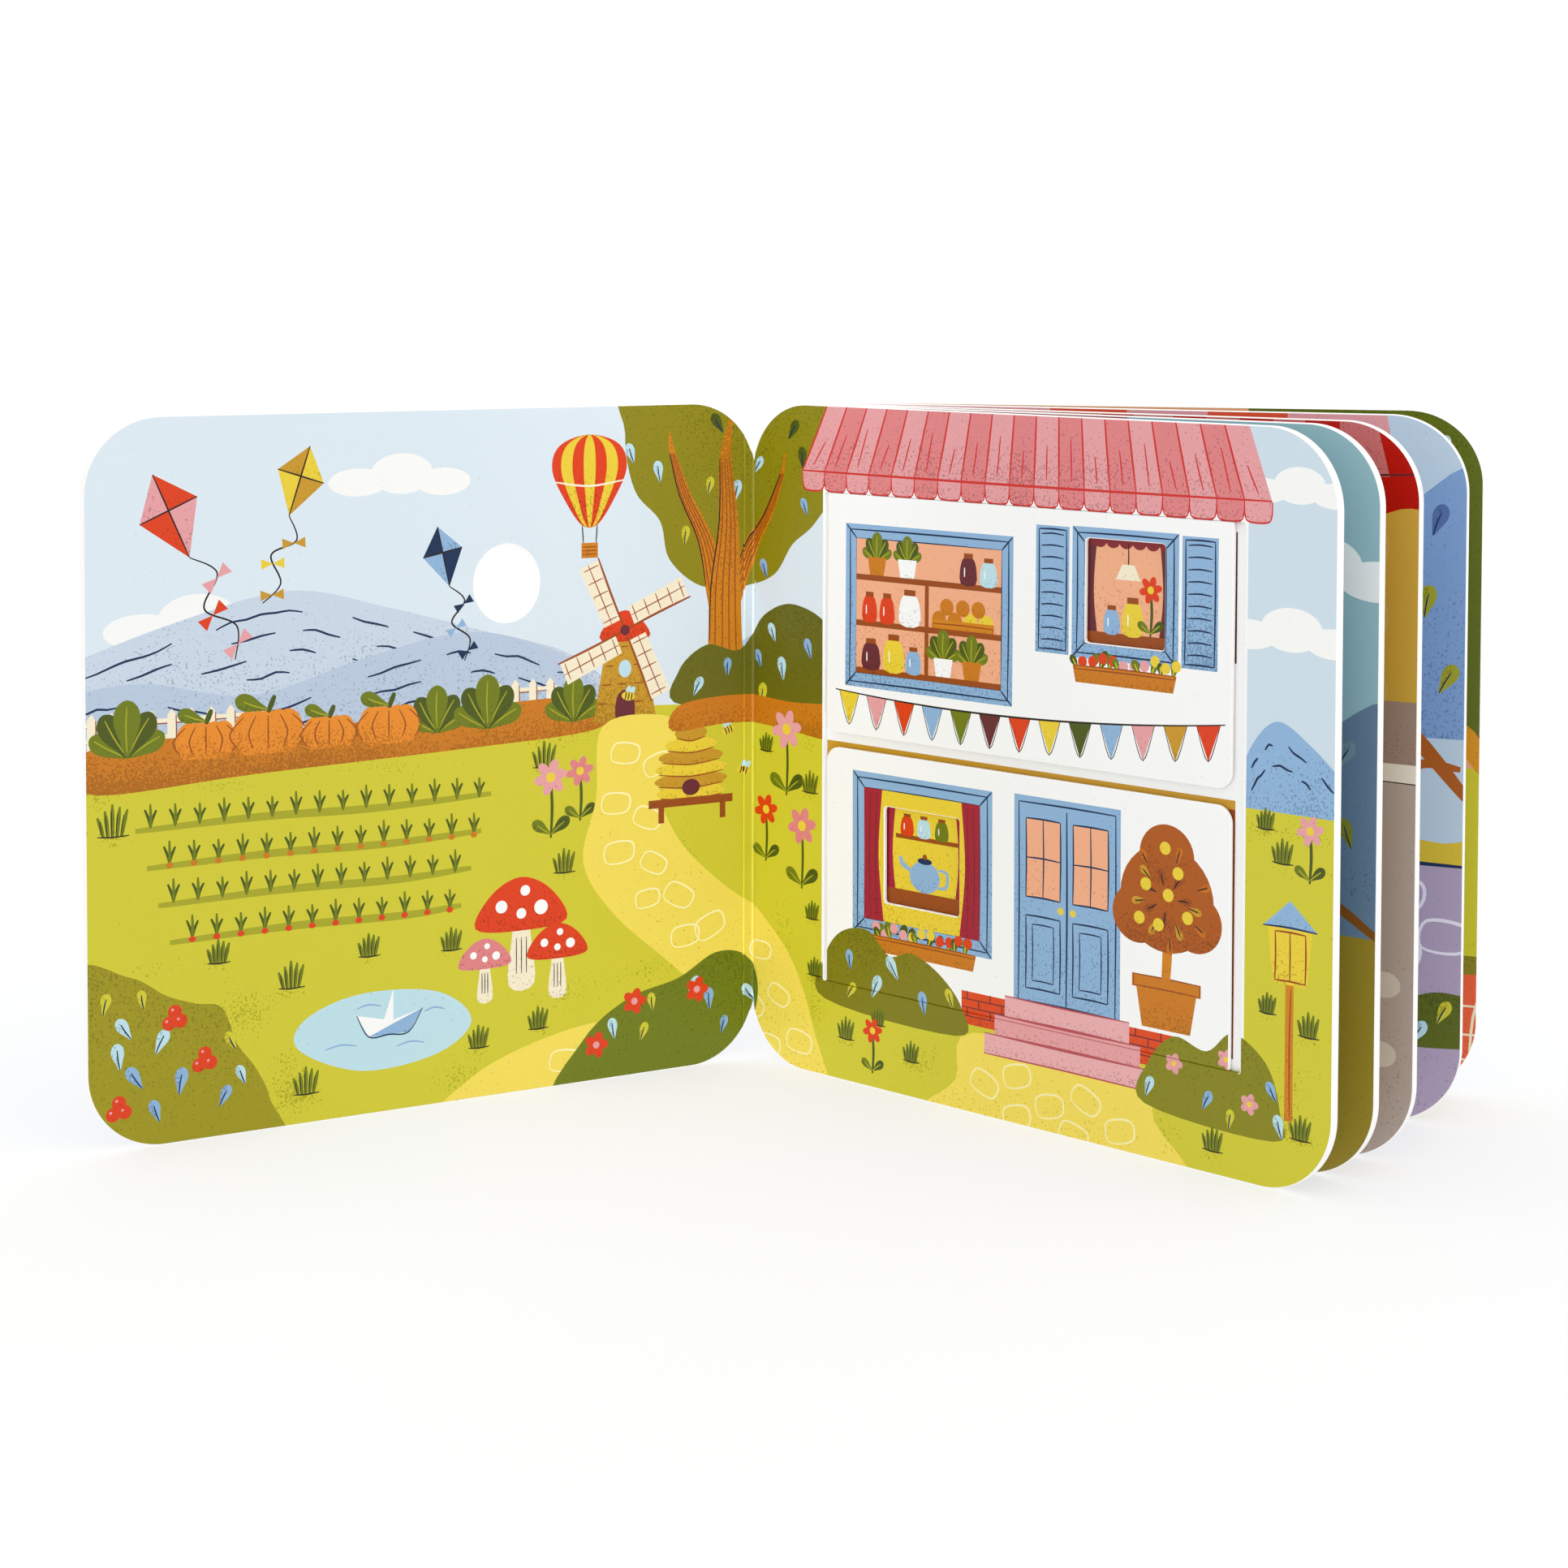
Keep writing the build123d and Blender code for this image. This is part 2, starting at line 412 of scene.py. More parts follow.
def shapes_in(motif, *details):
    """How many shapes one motif paints, tried on a blank picture."""
    trial = Picture("FFFFFF")
    blank = len(trial.shapes)
    motif(trial, *details)
    return len(trial.shapes) - blank


print("a blank picture has", len(Picture("FFFFFF").shapes), "shape")

# %% [markdown]
# Blender's constrained triangulator takes every drawn edge and gives back triangles that never
# cross one. Each triangle then takes the ink of the topmost shape that holds its middle, so
# fields of colour meet without a gap and the printed face stays one flat sheet. Separate
# coloured pieces laid on the page would show edges that a print doesn't have.


# %% What lies inside a loop
def holds(loop, points):
    """Which points lie inside a loop, by counting the loop's turns round each."""
    x, y = points[:, 0, None], points[:, 1, None]
    a, b = loop, np.roll(loop, -1, 0)
    up, down = (a[:, 1] <= y) & (b[:, 1] > y), (a[:, 1] > y) & (b[:, 1] <= y)
    rise = np.where(np.abs(b[:, 1] - a[:, 1]) < 1e-12, 1e-12, b[:, 1] - a[:, 1])
    right = x < a[:, 0] + (y - a[:, 1]) * (b[:, 0] - a[:, 0]) / rise
    return ((up & right).sum(1) - (down & right).sum(1)) != 0


def inside_page(points, triangles, middle, fences, loops):
    """Which triangles belong to the page: whole regions between its cuts."""
    beside = {}
    for face, (a, b, c) in enumerate(triangles):
        for edge in ((a, b), (b, c), (c, a)):
            beside.setdefault(tuple(sorted(edge)), []).append(face)
    joined = [[] for _ in triangles]
    for edge, faces in beside.items():
        if len(faces) == 2 and edge not in fences:
            joined[faces[0]].append(faces[1])
            joined[faces[1]].append(faces[0])
    corners = points[triangles]
    (ax, ay), (bx, by) = (corners[:, 1] - corners[:, 0]).T, (corners[:, 2] - corners[:, 0]).T
    area = np.abs(ax * by - ay * bx)
    keep = holds(loops[0], middle)
    for loop in loops[1:]:
        keep &= ~holds(loop, middle)
    seen = np.zeros(len(triangles), bool)
    for start in np.argsort(-area):
        if not seen[start]:
            region, seen[start] = [start], True
            for face in region:
                fresh = [other for other in joined[face] if not seen[other]]
                seen[fresh] = True
                region += fresh
            keep[region] = keep[start]
    return keep


inner, outer = holds(np.array(box_loop(0, 0, 9, 9)), np.array([(4, 4), (12, 4)]))
print("a point inside is held", bool(inner), "and one outside", bool(outer))

# %% Points and edges that the triangles must keep
GRID = 7.0                    # loose points this far apart keep the triangles compact


def dust_spots(dusts):
    """Loose points round each patch of spray, so that it fades out smoothly."""
    spots = []
    for x, y, across, up, _, _ in dusts:
        for reach, count in ((0.0, 1), (0.55, 6), (1.1, 9)):
            turns = [k * 6.28 / count + reach for k in range(count)]
            spots += [(x + across * reach * math.cos(turn), y + up * reach * math.sin(turn))
                      for turn in turns]
    return spots


def gather(picture, loops, columns):
    """All points and edges: the cuts first, then the drawn shapes, then what is loose."""
    points, edges = [], []
    low, high = loops[0].min(0), loops[0].max(0)
    drawn = [shape[0] for shape in picture.shapes
             if (shape[0].max(0) > low).all() and (shape[0].min(0) < high).all()]
    for loop in loops + drawn:
        start = len(points)
        points.extend(loop)
        edges += [(start + i, start + (i + 1) % len(loop)) for i in range(len(loop))]
    for x in columns:
        edges.append((len(points), len(points) + 1))
        points += [(x, -BLEED), (x, PAGE_H + BLEED)]
    across, up = (np.arange(a + 2.0, b, GRID) for a, b in zip(low, high))
    points += [(x + 0.13 * (y % 3), y) for x in across for y in up]
    return points + dust_spots(picture.dusts), edges


trial = gather(Picture("FFFFFF"), [np.array(box_loop(0.0, 0.0, 9.0, 9.0))], ())
print("a blank square gives", len(trial[0]), "points and", len(trial[1]), "edges")


# %% Cutting a face into fields of colour
class Sheet:
    """A flat face cut into triangles, each with its ink and its spray."""

    def __init__(self, picture, outline, holes=(), columns=()):
        loops = [np.array(loop, np.float32).astype(float) for loop in (outline, *holes)]
        self.outlines, given = loops, sum(len(loop) for loop in loops)
        self.starts = [sum(len(loop) for loop in loops[:i]) for i in range(len(loops))]
        points, edges = gather(picture, loops, columns)
        spots, sides, faces, spot_origins, side_origins, _ = delaunay_2d_cdt(
            [Vector(p) for p in points], edges, [], 0, 1e-5)
        self.points = np.array([tuple(p) for p in spots])
        triangles = np.array(faces)
        middle = self.points[triangles].mean(1)
        fences = {tuple(sorted(side)) for side, origins in zip(sides, side_origins)
                  if min(origins, default=given) < given}
        keep = inside_page(self.points, triangles, middle, fences, loops)
        self.triangles, middle = triangles[keep], middle[keep]
        self.place = {origin: i for i, origins in enumerate(spot_origins) for origin in origins}
        self.colour(picture, middle)
        self.find_rim()

    def colour(self, picture, middle):
        """Gives each triangle the ink and spray of the topmost shape over its middle."""
        self.inks = np.zeros((len(middle), 4))
        self.spray = np.zeros((len(middle), 3))
        across, heights = self.points[self.triangles].transpose(2, 0, 1)
        layer = np.zeros(len(middle))
        for number, (loop, ink, base, slope, low) in enumerate(picture.shapes):
            (x0, y0), (x1, y1) = loop.min(0), loop.max(0)
            near = ((middle[:, 0] >= x0) & (middle[:, 0] <= x1)
                    & (middle[:, 1] >= y0) & (middle[:, 1] <= y1)).nonzero()[0]
            if len(near):
                near = near[holds(loop, middle[near])]
                self.inks[near] = ink
                self.spray[near] = base + slope * (heights[near] - low)
                layer[near] = number
        for x, y, wide, tall, thick, after in picture.dusts:
            near = layer < after
            far = ((across[near] - x) / wide) ** 2 + ((heights[near] - y) / tall) ** 2
            self.spray[near] += thick * np.exp(-1.4 * far)
        # Painted highlight: along each crease the inks are lightened, where the film over a fold
        # catches the light.
        for x, half, lighter in picture.painted_crease_highlights:
            near = np.abs(middle[:, 0] - x) < half
            self.inks[near] = np.minimum(self.inks[near] * lighter, 1.0)

    def find_rim(self):
        """Follows the border edges: after each point the next, with the face on the left."""
        owner = {}
        for face, (a, b, c) in enumerate(self.triangles):
            owner.update({(a, b): face, (b, c): face, (c, a): face})
        self.after = {a: b for a, b in owner if (b, a) not in owner}
        self.owner = {edge[0]: face for edge, face in owner.items() if edge[::-1] not in owner}

    def path(self, start, end):
        """Border points from one to another, both included."""
        found = [start]
        while found[-1] != end:
            found.append(self.after[found[-1]])
        return found

    def borders(self):
        """The border that each outline or hole has become, as a list of points."""
        found = []
        for start in self.starts:
            border = [self.place[start]]
            while self.after[border[-1]] != border[0]:
                border.append(self.after[border[-1]])
            found.append(border)
        return found


print("a plain sheet has", len(Sheet(Picture("FFFFFF"), box_loop(0, 0, 9, 9)).triangles), "triangles")

# %% [markdown]
# A board is a closed shell: a front sheet, a back sheet and cut walls between them, with a
# narrow pressed rim where the blade turned the film over the edge. A solidify modifier would
# give walls too, but not a rim, a pocket or two different prints. The walls follow the front
# sheet's border, and the back sheet is cut with that border as its outline, so every vertex
# meets its neighbour and the mesh is watertight.


# %% A shell that collects faces
class Shell:
    """Collects the faces of a board in page coordinates, then makes its mesh."""

    def __init__(self):
        self.spots, self.faces, self.inks = [], [], []
        self.sprays, self.slots, self.rounds = [], [], []

    def spot(self, x, y, depth):
        """Adds a point and gives back its index."""
        self.spots.append((x, y, depth))
        return len(self.spots) - 1

    def face(self, corners, ink, sprays, slot, rounded=True):
        """Adds a face with its ink, the spray at each corner and its material slot."""
        self.faces.append(corners)
        self.inks.append(ink)
        self.sprays.append(sprays)
        self.slots.append(slot)
        self.rounds.append(rounded)

    def lay(self, sheet, depth, facing_reader=True):
        """Adds a sheet's triangles at a depth and returns the index of its first point."""
        first = len(self.spots)
        for x, y in sheet.points:
            self.spot(x, y, depth)
        for triangle, ink, spray in zip(sheet.triangles, sheet.inks, sheet.spray):
            order = slice(None) if facing_reader else slice(None, None, -1)
            corners = [first + int(i) for i in triangle[order]]
            self.face(corners, ink, list(spray[order]), 0, rounded=False)
        return first

    def ring(self, outer, inner, ink, spray, slots):
        """Joins two rows of points: outer has one point per step, inner may have more."""
        for i, step in enumerate(outer):
            following = outer[(i + 1) % len(outer)]
            corners = [following, step, *inner[i]]
            self.face(corners, ink[i], [spray[i]] * len(corners), slots[i])

    def mesh(self, name, place):
        """Makes the object, each point where place puts it."""
        used = sorted({i for face in self.faces for i in face})
        row = {old: new for new, old in enumerate(used)}
        made = bpy.data.meshes.new(name)
        spots = [place(*self.spots[i]) for i in used]
        made.from_pydata(spots, [], [[row[i] for i in face] for face in self.faces])
        sizes = [len(face) for face in self.faces]
        colours = np.repeat(np.array(self.inks, np.float32), sizes, axis=0)
        sprays = np.array([value for row_of in self.sprays for value in row_of], np.float32)
        made.color_attributes.new("ink", "FLOAT_COLOR", "CORNER").data.foreach_set(
            "color", colours.ravel())
        made.attributes.new("spray", "FLOAT", "CORNER").data.foreach_set("value", sprays)
        made.polygons.foreach_set("material_index", self.slots)
        made.polygons.foreach_set("use_smooth", self.rounds)
        made.materials.append(PRINT)
        made.materials.append(CUT)
        made.update()
        piece = bpy.data.objects.new(name, made)
        bpy.context.scene.collection.objects.link(piece)
        return piece


print("a shell collects", ", ".join(vars(Shell())))


# %% Moving a border outwards
def pushed(corners, ring, distance):
    """Border points moved out of the sheet: corners are mitred, points between them follow."""
    following = np.roll(corners, -1, 0)
    ahead = following - corners
    sides = np.stack([ahead[:, 1], -ahead[:, 0]], 1) / np.linalg.norm(ahead, axis=1)[:, None]
    before = np.roll(sides, 1, 0)
    turns = [(loop[:, 0] * np.roll(loop[:, 1], -1) - loop[:, 1] * np.roll(loop[:, 0], -1)).sum()
             for loop in (corners, ring)]
    mitre = (sides + before) / (1 + (sides * before).sum(1))[:, None]
    moved = corners + mitre * distance * np.sign(turns[0] * turns[1])
    offset = ring[:, None] - corners
    t = np.clip((offset * ahead).sum(2) / (ahead ** 2).sum(1), 0, 1)
    edge = np.linalg.norm(offset - t[:, :, None] * ahead, axis=2).argmin(1)
    t = t[np.arange(len(ring)), edge][:, None]
    return moved[edge] * (1 - t) + np.roll(moved, -1, 0)[edge] * t


square = np.array(box_loop(0.0, 0.0, 9.0, 9.0))
print("a square pushed out by 1 mm begins at", pushed(square, square, 1.0)[0])


# %% Building a board
def build_board(name, front, outline, holes, back, thickness, place, floors=None, columns=()):
    """A closed board. A hole with a floor is a pocket: floors gives its depth and picture."""
    floors = floors or {}
    shell = Shell()
    face = Sheet(front, outline, holes, columns)
    top = shell.lay(face, FACE)
    borders = face.borders()
    rims = [pushed(loop, face.points[border], EDGE) for loop, border in zip(face.outlines, borders)]
    through = [i for i in range(len(borders)) if i - 1 not in floors]
    base = Sheet(back, face.points[borders[0]], [face.points[borders[i]] for i in through[1:]], columns)
    under = shell.lay(base, FACE + thickness, facing_reader=False)
    for i, start in zip(through, base.starts):
        targets = [base.place[start + k] for k in range(len(borders[i]))]
        join_down(shell, face, borders[i], rims[i], top, base, targets, under, FACE + thickness, True)
    for number, (depth, picture) in floors.items():
        border, rim = borders[number + 1], rims[number + 1]
        floor = Sheet(picture, rim[::-1])
        lower = shell.lay(floor, depth)
        targets = [floor.place[len(border) - 1 - k] for k in range(len(border))]
        join_down(shell, face, border, rim, top, floor, targets, lower, depth, False)
    return shell.mesh(name, place)


def join_down(shell, face, border, rim, top, base, targets, under, depth, rolled):
    """Walls from a front border down to a lower sheet, with a pressed rim at the front."""
    first = [shell.spot(x, y, FACE + EDGE) for x, y in rim]
    inks = [face.inks[face.owner[i]] for i in border]
    sprays = [float(face.spray[face.owner[i]].mean()) for i in border]
    count = len(border)
    pairs = [[first[i], first[(i + 1) % count]] for i in range(count)]
    middles = [(face.points[i] + face.points[j]) / 2 for i, j in zip(border, border[1:] + border[:1])]
    cut = [0 if scored(*middle) else 1 for middle in middles]
    shell.ring([top + i for i in border], pairs, inks, sprays, cut)
    last = first
    if rolled:
        last = [shell.spot(x, y, depth - EDGE) for x, y in rim]
        shell.ring(first, [[last[i], last[(i + 1) % count]] for i in range(count)], inks, sprays, cut)
    below = []
    for i in range(count):
        start, end = targets[i], targets[(i + 1) % count]
        way = base.path(start, end) if rolled else base.path(end, start)[::-1]
        below.append([under + k for k in way])
    if rolled:
        inks = [base.inks[base.owner[i]] for i in targets]
    shell.ring(last, below, inks, sprays, cut)


print("a board is", FACE, "mm behind its hinge line and its rim is", EDGE, "mm")

# %% [markdown]
# The die that cuts a page gives it round corners, also at the fold, where the arc runs a
# little past the crease. The same outline serves every board: only the place where it
# begins at the fold differs. The lift flaps are cut from the front ply of the first leaf,
# with small windows through them, and the front cover has one oval window.

# %% Outlines cut by the die
FLAP_X = (28.6, 164.8)
POCKET = (27.4, 27.2, 168.2, 165.7)
FLAP_GAP = (94.1, 98.3)       # the slot between the flaps, from the bottom edge
FLAP_ROUND = 4.4
UPPER_WINDOW = (118.9, 131.4, 144.1, 158.7)
LOWER_WINDOW = (50.2, 52.7, 77.0, 79.6)
PEEP_HOLE = (-77.3, 141.8, 9.9, 10.8)
SCORE = 0.09                  # half the width of a scored hinge line


def scored(x, y):
    """Whether a border point lies on a scored fold, where the print runs on."""
    on_flap = FLAP_X[0] - 0.5 < x < FLAP_X[1] + 0.5
    end = notch(x) + 0.6
    return abs(x) < 4 and end < y < PAGE_H - end or on_flap and (
        min(abs(y - POCKET[1]), abs(y - POCKET[3])) < 0.5)


def notch(x, inset=EDGE):
    """How far the round corner has risen at a distance from the fold."""
    run = CORNER - CORNER_OVERRUN - abs(x)
    return CORNER - math.sqrt(max((CORNER - inset) ** 2 - run ** 2, 0.0))


def arc(cx, cy, radius, start, end, steps):
    """Points along an arc, its angles in degrees."""
    turns = [math.radians(start + (end - start) * i / steps) for i in range(steps + 1)]
    return [(cx + radius * math.cos(turn), cy + radius * math.sin(turn)) for turn in turns]


def page_outline(start, steps=24):
    """The outline of a right-hand page whose board begins at a distance from its fold."""
    reach, left, right = CORNER - EDGE, CORNER - CORNER_OVERRUN, PAGE_W - CORNER
    cut = math.degrees(math.acos((left - start - EDGE) / reach))
    top = PAGE_H - CORNER
    return (arc(left, CORNER, reach, 180 + cut, 270, steps)
            + arc(right, CORNER, reach, 270, 360, steps)
            + arc(right, top, reach, 0, 90, steps)
            + arc(left, top, reach, 90, 180 - cut, steps))


def card_loop(x0, y0, x1, y1, rounds, inset=EDGE):
    """A rectangle with its own corner radii: bottom left, bottom right, top right, top left."""
    corners = ((x0, y0, 180), (x1, y0, 270), (x1, y1, 0), (x0, y1, 90))
    loop = []
    for (x, y, start), radius in zip(corners, rounds):
        radius = max(radius, inset + 0.02)
        cx = x + (radius if x == x0 else -radius)
        cy = y + (radius if y == y0 else -radius)
        loop += arc(cx, cy, radius - inset, start, start + 90, 8 if radius > 1 else 2)
    return loop


def mirrored(loop):
    """A right-hand outline as a left-hand one."""
    return [(-x, y) for x, y in loop]


print("a page outline has", len(page_outline(0)), "points")

# %% [markdown]
# The print is a garden scene in gouache style: flat shapes with a spray of grain, ink lines
# of a brush pen, and the same few inks everywhere. Small motifs come first: each is a
# function that paints one thing at a place and a size, so that a change reaches every copy.

# %% Inks of the print
INK, NAVY = "3A3230", "2C3E5C"
PAPER, CREAM = "F9FAFA", "F5EBD0"
SKY, SKY_DEEP, HILL, HILL_BACK = "DCE9F1", "CFDFEA", "BACADE", "CAD7E6"
LIME, LIME_DARK, OLIVE, BUSH, BUSH_DEEP = "D1CA42", "A9A838", "918A29", "758026", "556018"
PATH, PATH_LINE, YELLOW, SOIL, OCHRE = "F2DC62", "FAF0B4", "EACF47", "CB7F31", "C99A3A"
PINK, PINK_DEEP, RED, MAROON = "E6A3A6", "DF8789", "DE4B2C", "6E3B40"
BLUE, BLUE_PALE, PEACH = "92B6DA", "BFE0EA", "F1B18D"
BROWN, BARK, CURTAIN = "9C5426", "D28730", "A93343"


def turned(points, x, y, turn=0.0, size=1.0):
    """Points of a unit drawing, turned, scaled and moved to a place."""
    c, s = math.cos(math.radians(turn)) * size, math.sin(math.radians(turn)) * size
    return [(x + px * c - py * s, y + px * s + py * c) for px, py in points]


print("a turned point", [round(c, 3) for c in turned([(1, 0)], 0, 0, 90)[0]])

# %% Leaves and tufts
LEAF_SIDE = [(0, 0), (0.3, 0.13), (0.62, 0.24), (0.88, 0.19), (1, 0)]
LEAF_SHAPE = smooth(LEAF_SIDE + [(x, -y) for x, y in LEAF_SIDE[-2:0:-1]], 3)
LEAF_HALF = smooth(LEAF_SIDE, 3, closed=False)


def leaf(art, x, y, length, turn, ink, vein=NAVY):
    """A drop-shaped leaf with one half in shade and a dark vein."""
    art.paint(turned(LEAF_SHAPE, x, y, turn, length), ink)
    art.paint(turned(LEAF_HALF, x, y, turn, length), ink, (0.7, 0.5))
    art.line(turned([(0.02, 0), (0.4, 0.02), (0.75, 0)], x, y, turn, length), 0.4, vein)


def tuft(art, x, y, size, ink=BUSH):
    """A clump of five thin blades with a dash of shade at its foot."""
    art.dust(x, y - 0.1 * size, 0.8 * size, 0.4 * size, 0.5)
    for k in (-2, 2, -1, 1, 0):
        foot, tall = x + 0.15 * k * size, size * (1.05 - 0.15 * abs(k) + 0.05 * k)
        art.paint(limb([(foot, y, 0.8), (foot + 0.05 * k * size, y + tall * 0.6, 1.15),
                        (foot + 0.1 * k * size, y + tall, 0.5)], 3), ink, (0.4, 0.0))
        art.line([(foot - 0.3, y), (foot + 0.05 * k * size - 0.2, y + tall * 0.8)], 0.24, INK)
    art.line([(x - 0.5 * size, y + 0.1), (x, y - 0.2), (x + 0.55 * size, y)], 0.4, INK)


print("shapes: leaf", shapes_in(leaf, 0, 0, 8, 0, LIME), "tuft", shapes_in(tuft, 0, 0, 8))


# %% Flowers
def flower(art, x, y, height, ink, petals=6):
    """A round flower on a stem with two leaves."""
    art.line([(x, y), (x + 0.4, y + height * 0.5), (x, y + height)], 0.9, BUSH_DEEP)
    leaf(art, x, y + height * 0.06, height * 0.42, 38, BUSH_DEEP, LIME_DARK)
    leaf(art, x, y + height * 0.06, height * 0.40, 145, BUSH, LIME_DARK)
    head = height * 0.17
    for k in range(petals):
        turn = 360 * k / petals + 12
        px, py = turned([(head, 0)], x, y + height, turn)[0]
        art.paint(oval(px, py, head * 0.8, head * 0.5, 14, turn), ink, (0.35, 0.0))
    art.paint(oval(x, y + height, head * 0.5, steps=12), YELLOW)


def blossom(art, x, y, reach, ink, heart):
    """An open flower of five round petals, seen from above."""
    for k in range(5):
        px, py = turned([(reach, 0)], x, y, 72 * k)[0]
        art.paint(oval(px, py, reach, reach * 0.73, 14, 72 * k), ink, (0.4, 0.05))
    art.paint(oval(x, y, reach * 0.54, steps=10), heart)


print("shapes: flower", shapes_in(flower, 0, 0, 15, PINK),
      "blossom", shapes_in(blossom, 0, 0, 2, PINK, YELLOW))


# %% Vegetables and toadstools
def sprout(art, x, y, size, leaves=5):
    """A vegetable in the bed: broad leaves fanned out from the ground."""
    for k in sorted(range(leaves), key=lambda k: -abs(k - (leaves - 1) / 2)):
        turn = 90 + (k - (leaves - 1) / 2) * 150 / leaves
        ink = (BUSH, BUSH_DEEP)[k % 2]
        long = size * (1 - 0.12 * abs(k - (leaves - 1) / 2))
        art.paint(turned(LEAF_SHAPE, x, y, turn, long), ink, (0.45, 0.0))
        art.line(turned([(0.1, 0), (0.5, 0.02), (0.88, 0)], x, y, turn, long), 0.4, LIME_DARK)


def toadstool(art, x, y, height, ink=RED):
    """A spotted toadstool."""
    stem = smooth([(-0.13, 0), (-0.09, 0.5), (-0.1, 0.8), (0.1, 0.8), (0.09, 0.5), (0.13, 0)], 4)
    art.paint(turned(stem, x, y, 0, height), CREAM, (0.35, 0.0))
    cap = smooth([(-0.46, 0.56), (-0.3, 0.86), (0, 1.0), (0.3, 0.86), (0.46, 0.56), (0, 0.5)], 5)
    art.paint(turned(cap, x, y, 0, height), ink, (0.5, 0.05))
    for dx, dy, r in ((-0.2, 0.74, 0.06), (0.04, 0.87, 0.05), (0.2, 0.7, 0.07), (0.0, 0.66, 0.05)):
        art.paint(oval(x + dx * height, y + dy * height, r * height, steps=14), PAPER)
    for k in (-1, 0, 1):
        foot = x + k * 0.05 * height
        art.line([(foot, y + 0.1 * height), (foot, y + 0.44 * height)], 0.3, INK)


def pumpkin(art, x, y, r, ink="E8903A"):
    """A ribbed pumpkin, the middle rib painted last."""
    for dx in (-0.75, 0.75, -0.38, 0.38, 0.0):
        art.paint(oval(x + dx * r, y + r * 0.8, r * 0.56, r * 0.8, 22), ink, (0.75, 0.1))
        art.line([(x + dx * r * 1.5, y + r * 0.25), (x + dx * r * 1.9, y + r * 0.8),
                  (x + dx * r * 1.2, y + r * 1.4)], 0.4, BROWN)
    art.line([(x, y + 1.5 * r), (x + 0.25 * r, y + 2.1 * r)], 1.5, BUSH_DEEP)
    leaf(art, x, y + 1.6 * r, 1.3 * r, 160, BUSH, LIME_DARK)


for motif in (sprout, toadstool, pumpkin):
    print("shapes:", motif.__name__, shapes_in(motif, 0, 0, 15))


# %% Bushes
LEAF_APART = 60               # mm squared, the least between two drawn leaves


def bush(art, points, ink, leaves=0, seed=1, inks=(LIME, BLUE_PALE, BLUE), clear=()):
    """A rounded mass of leaves, with some drawn out singly and kept off the clear spots."""
    loop = smooth(points, 6)
    art.paint(loop, ink, (0.12, 0.5))
    shape = np.array(loop)
    low = np.maximum(shape.min(0), (-PAGE_W + 4, 6))
    high = np.minimum(shape.max(0), (PAGE_W - 6, PAGE_H - 8))
    chance = random.Random(seed)
    placed = list(clear)
    for _ in range(leaves * 60):
        x, y = chance.uniform(low[0], high[0]), chance.uniform(low[1], high[1])
        turn, long = chance.uniform(55, 125), chance.uniform(5.2, 7.4)
        ends = np.array([(x, y), turned([(1, 0)], x, y, turn, long)[0]])
        apart = all((x - a) ** 2 + (y - b) ** 2 > LEAF_APART for a, b in placed)
        if len(placed) < leaves + len(clear) and apart and holds(shape, ends).all():
            placed.append((x, y))
            leaf(art, x, y, long, turn, inks[len(placed) % len(inks)])


print("leaves are at least", round(math.sqrt(LEAF_APART), 1), "mm apart")


# %% Clouds and kites
CLOUD_WHITE = "F7F8F6"


def cloud(art, x, y, size):
    """A flat cloud of three rounded lobes."""
    lobes = ((-0.5, 0.0, 0.34, 0.15), (0.0, 0.08, 0.36, 0.22), (0.48, -0.02, 0.32, 0.15))
    for dx, dy, rx, ry in lobes:
        art.paint(oval(x + dx * size, y + dy * size, rx * size, ry * size, 36), CLOUD_WHITE)


def kite(art, x, y, size, turn, inks):
    """A paper kite: four panels, a spar line and a tail with bows."""
    points = {"top": (0, 0.6), "right": (0.42, 0.08), "foot": (0, -0.6), "left": (-0.42, 0.08)}
    spot = {k: turned([p], x, y, turn, size)[0] for k, p in points.items()}
    middle = turned([(0, 0.08)], x, y, turn, size)[0]
    order = ("top", "right", "foot", "left", "top")
    for k in range(4):
        art.paint([spot[order[k]], spot[order[k + 1]], middle], inks[k % 2], (0.5, 0.05))
    art.line([spot["top"], middle, spot["foot"]], 0.45, INK)
    art.line([spot["left"], middle, spot["right"]], 0.45, INK)
    tail = smooth(turned([(0, -0.6), (0.25, -0.95), (-0.1, -1.3), (0.2, -1.7), (0, -2.1)],
                         x, y, turn, size), 6, closed=False)
    art.paint(stroke(tail, 0.5, 2), INK)
    for at in (7, 14, 21):
        bx, by = tail[at]
        for side in (20, 200):
            wing = [(0, 0), (0.2, 0.09), (0.2, -0.09)]
            art.paint(turned(wing, bx, by, turn + side, size), inks[at % 2])


print("shapes: cloud", shapes_in(cloud, 0, 0, 20),
      "kite", shapes_in(kite, 0, 0, 20, 0, (RED, PINK)))


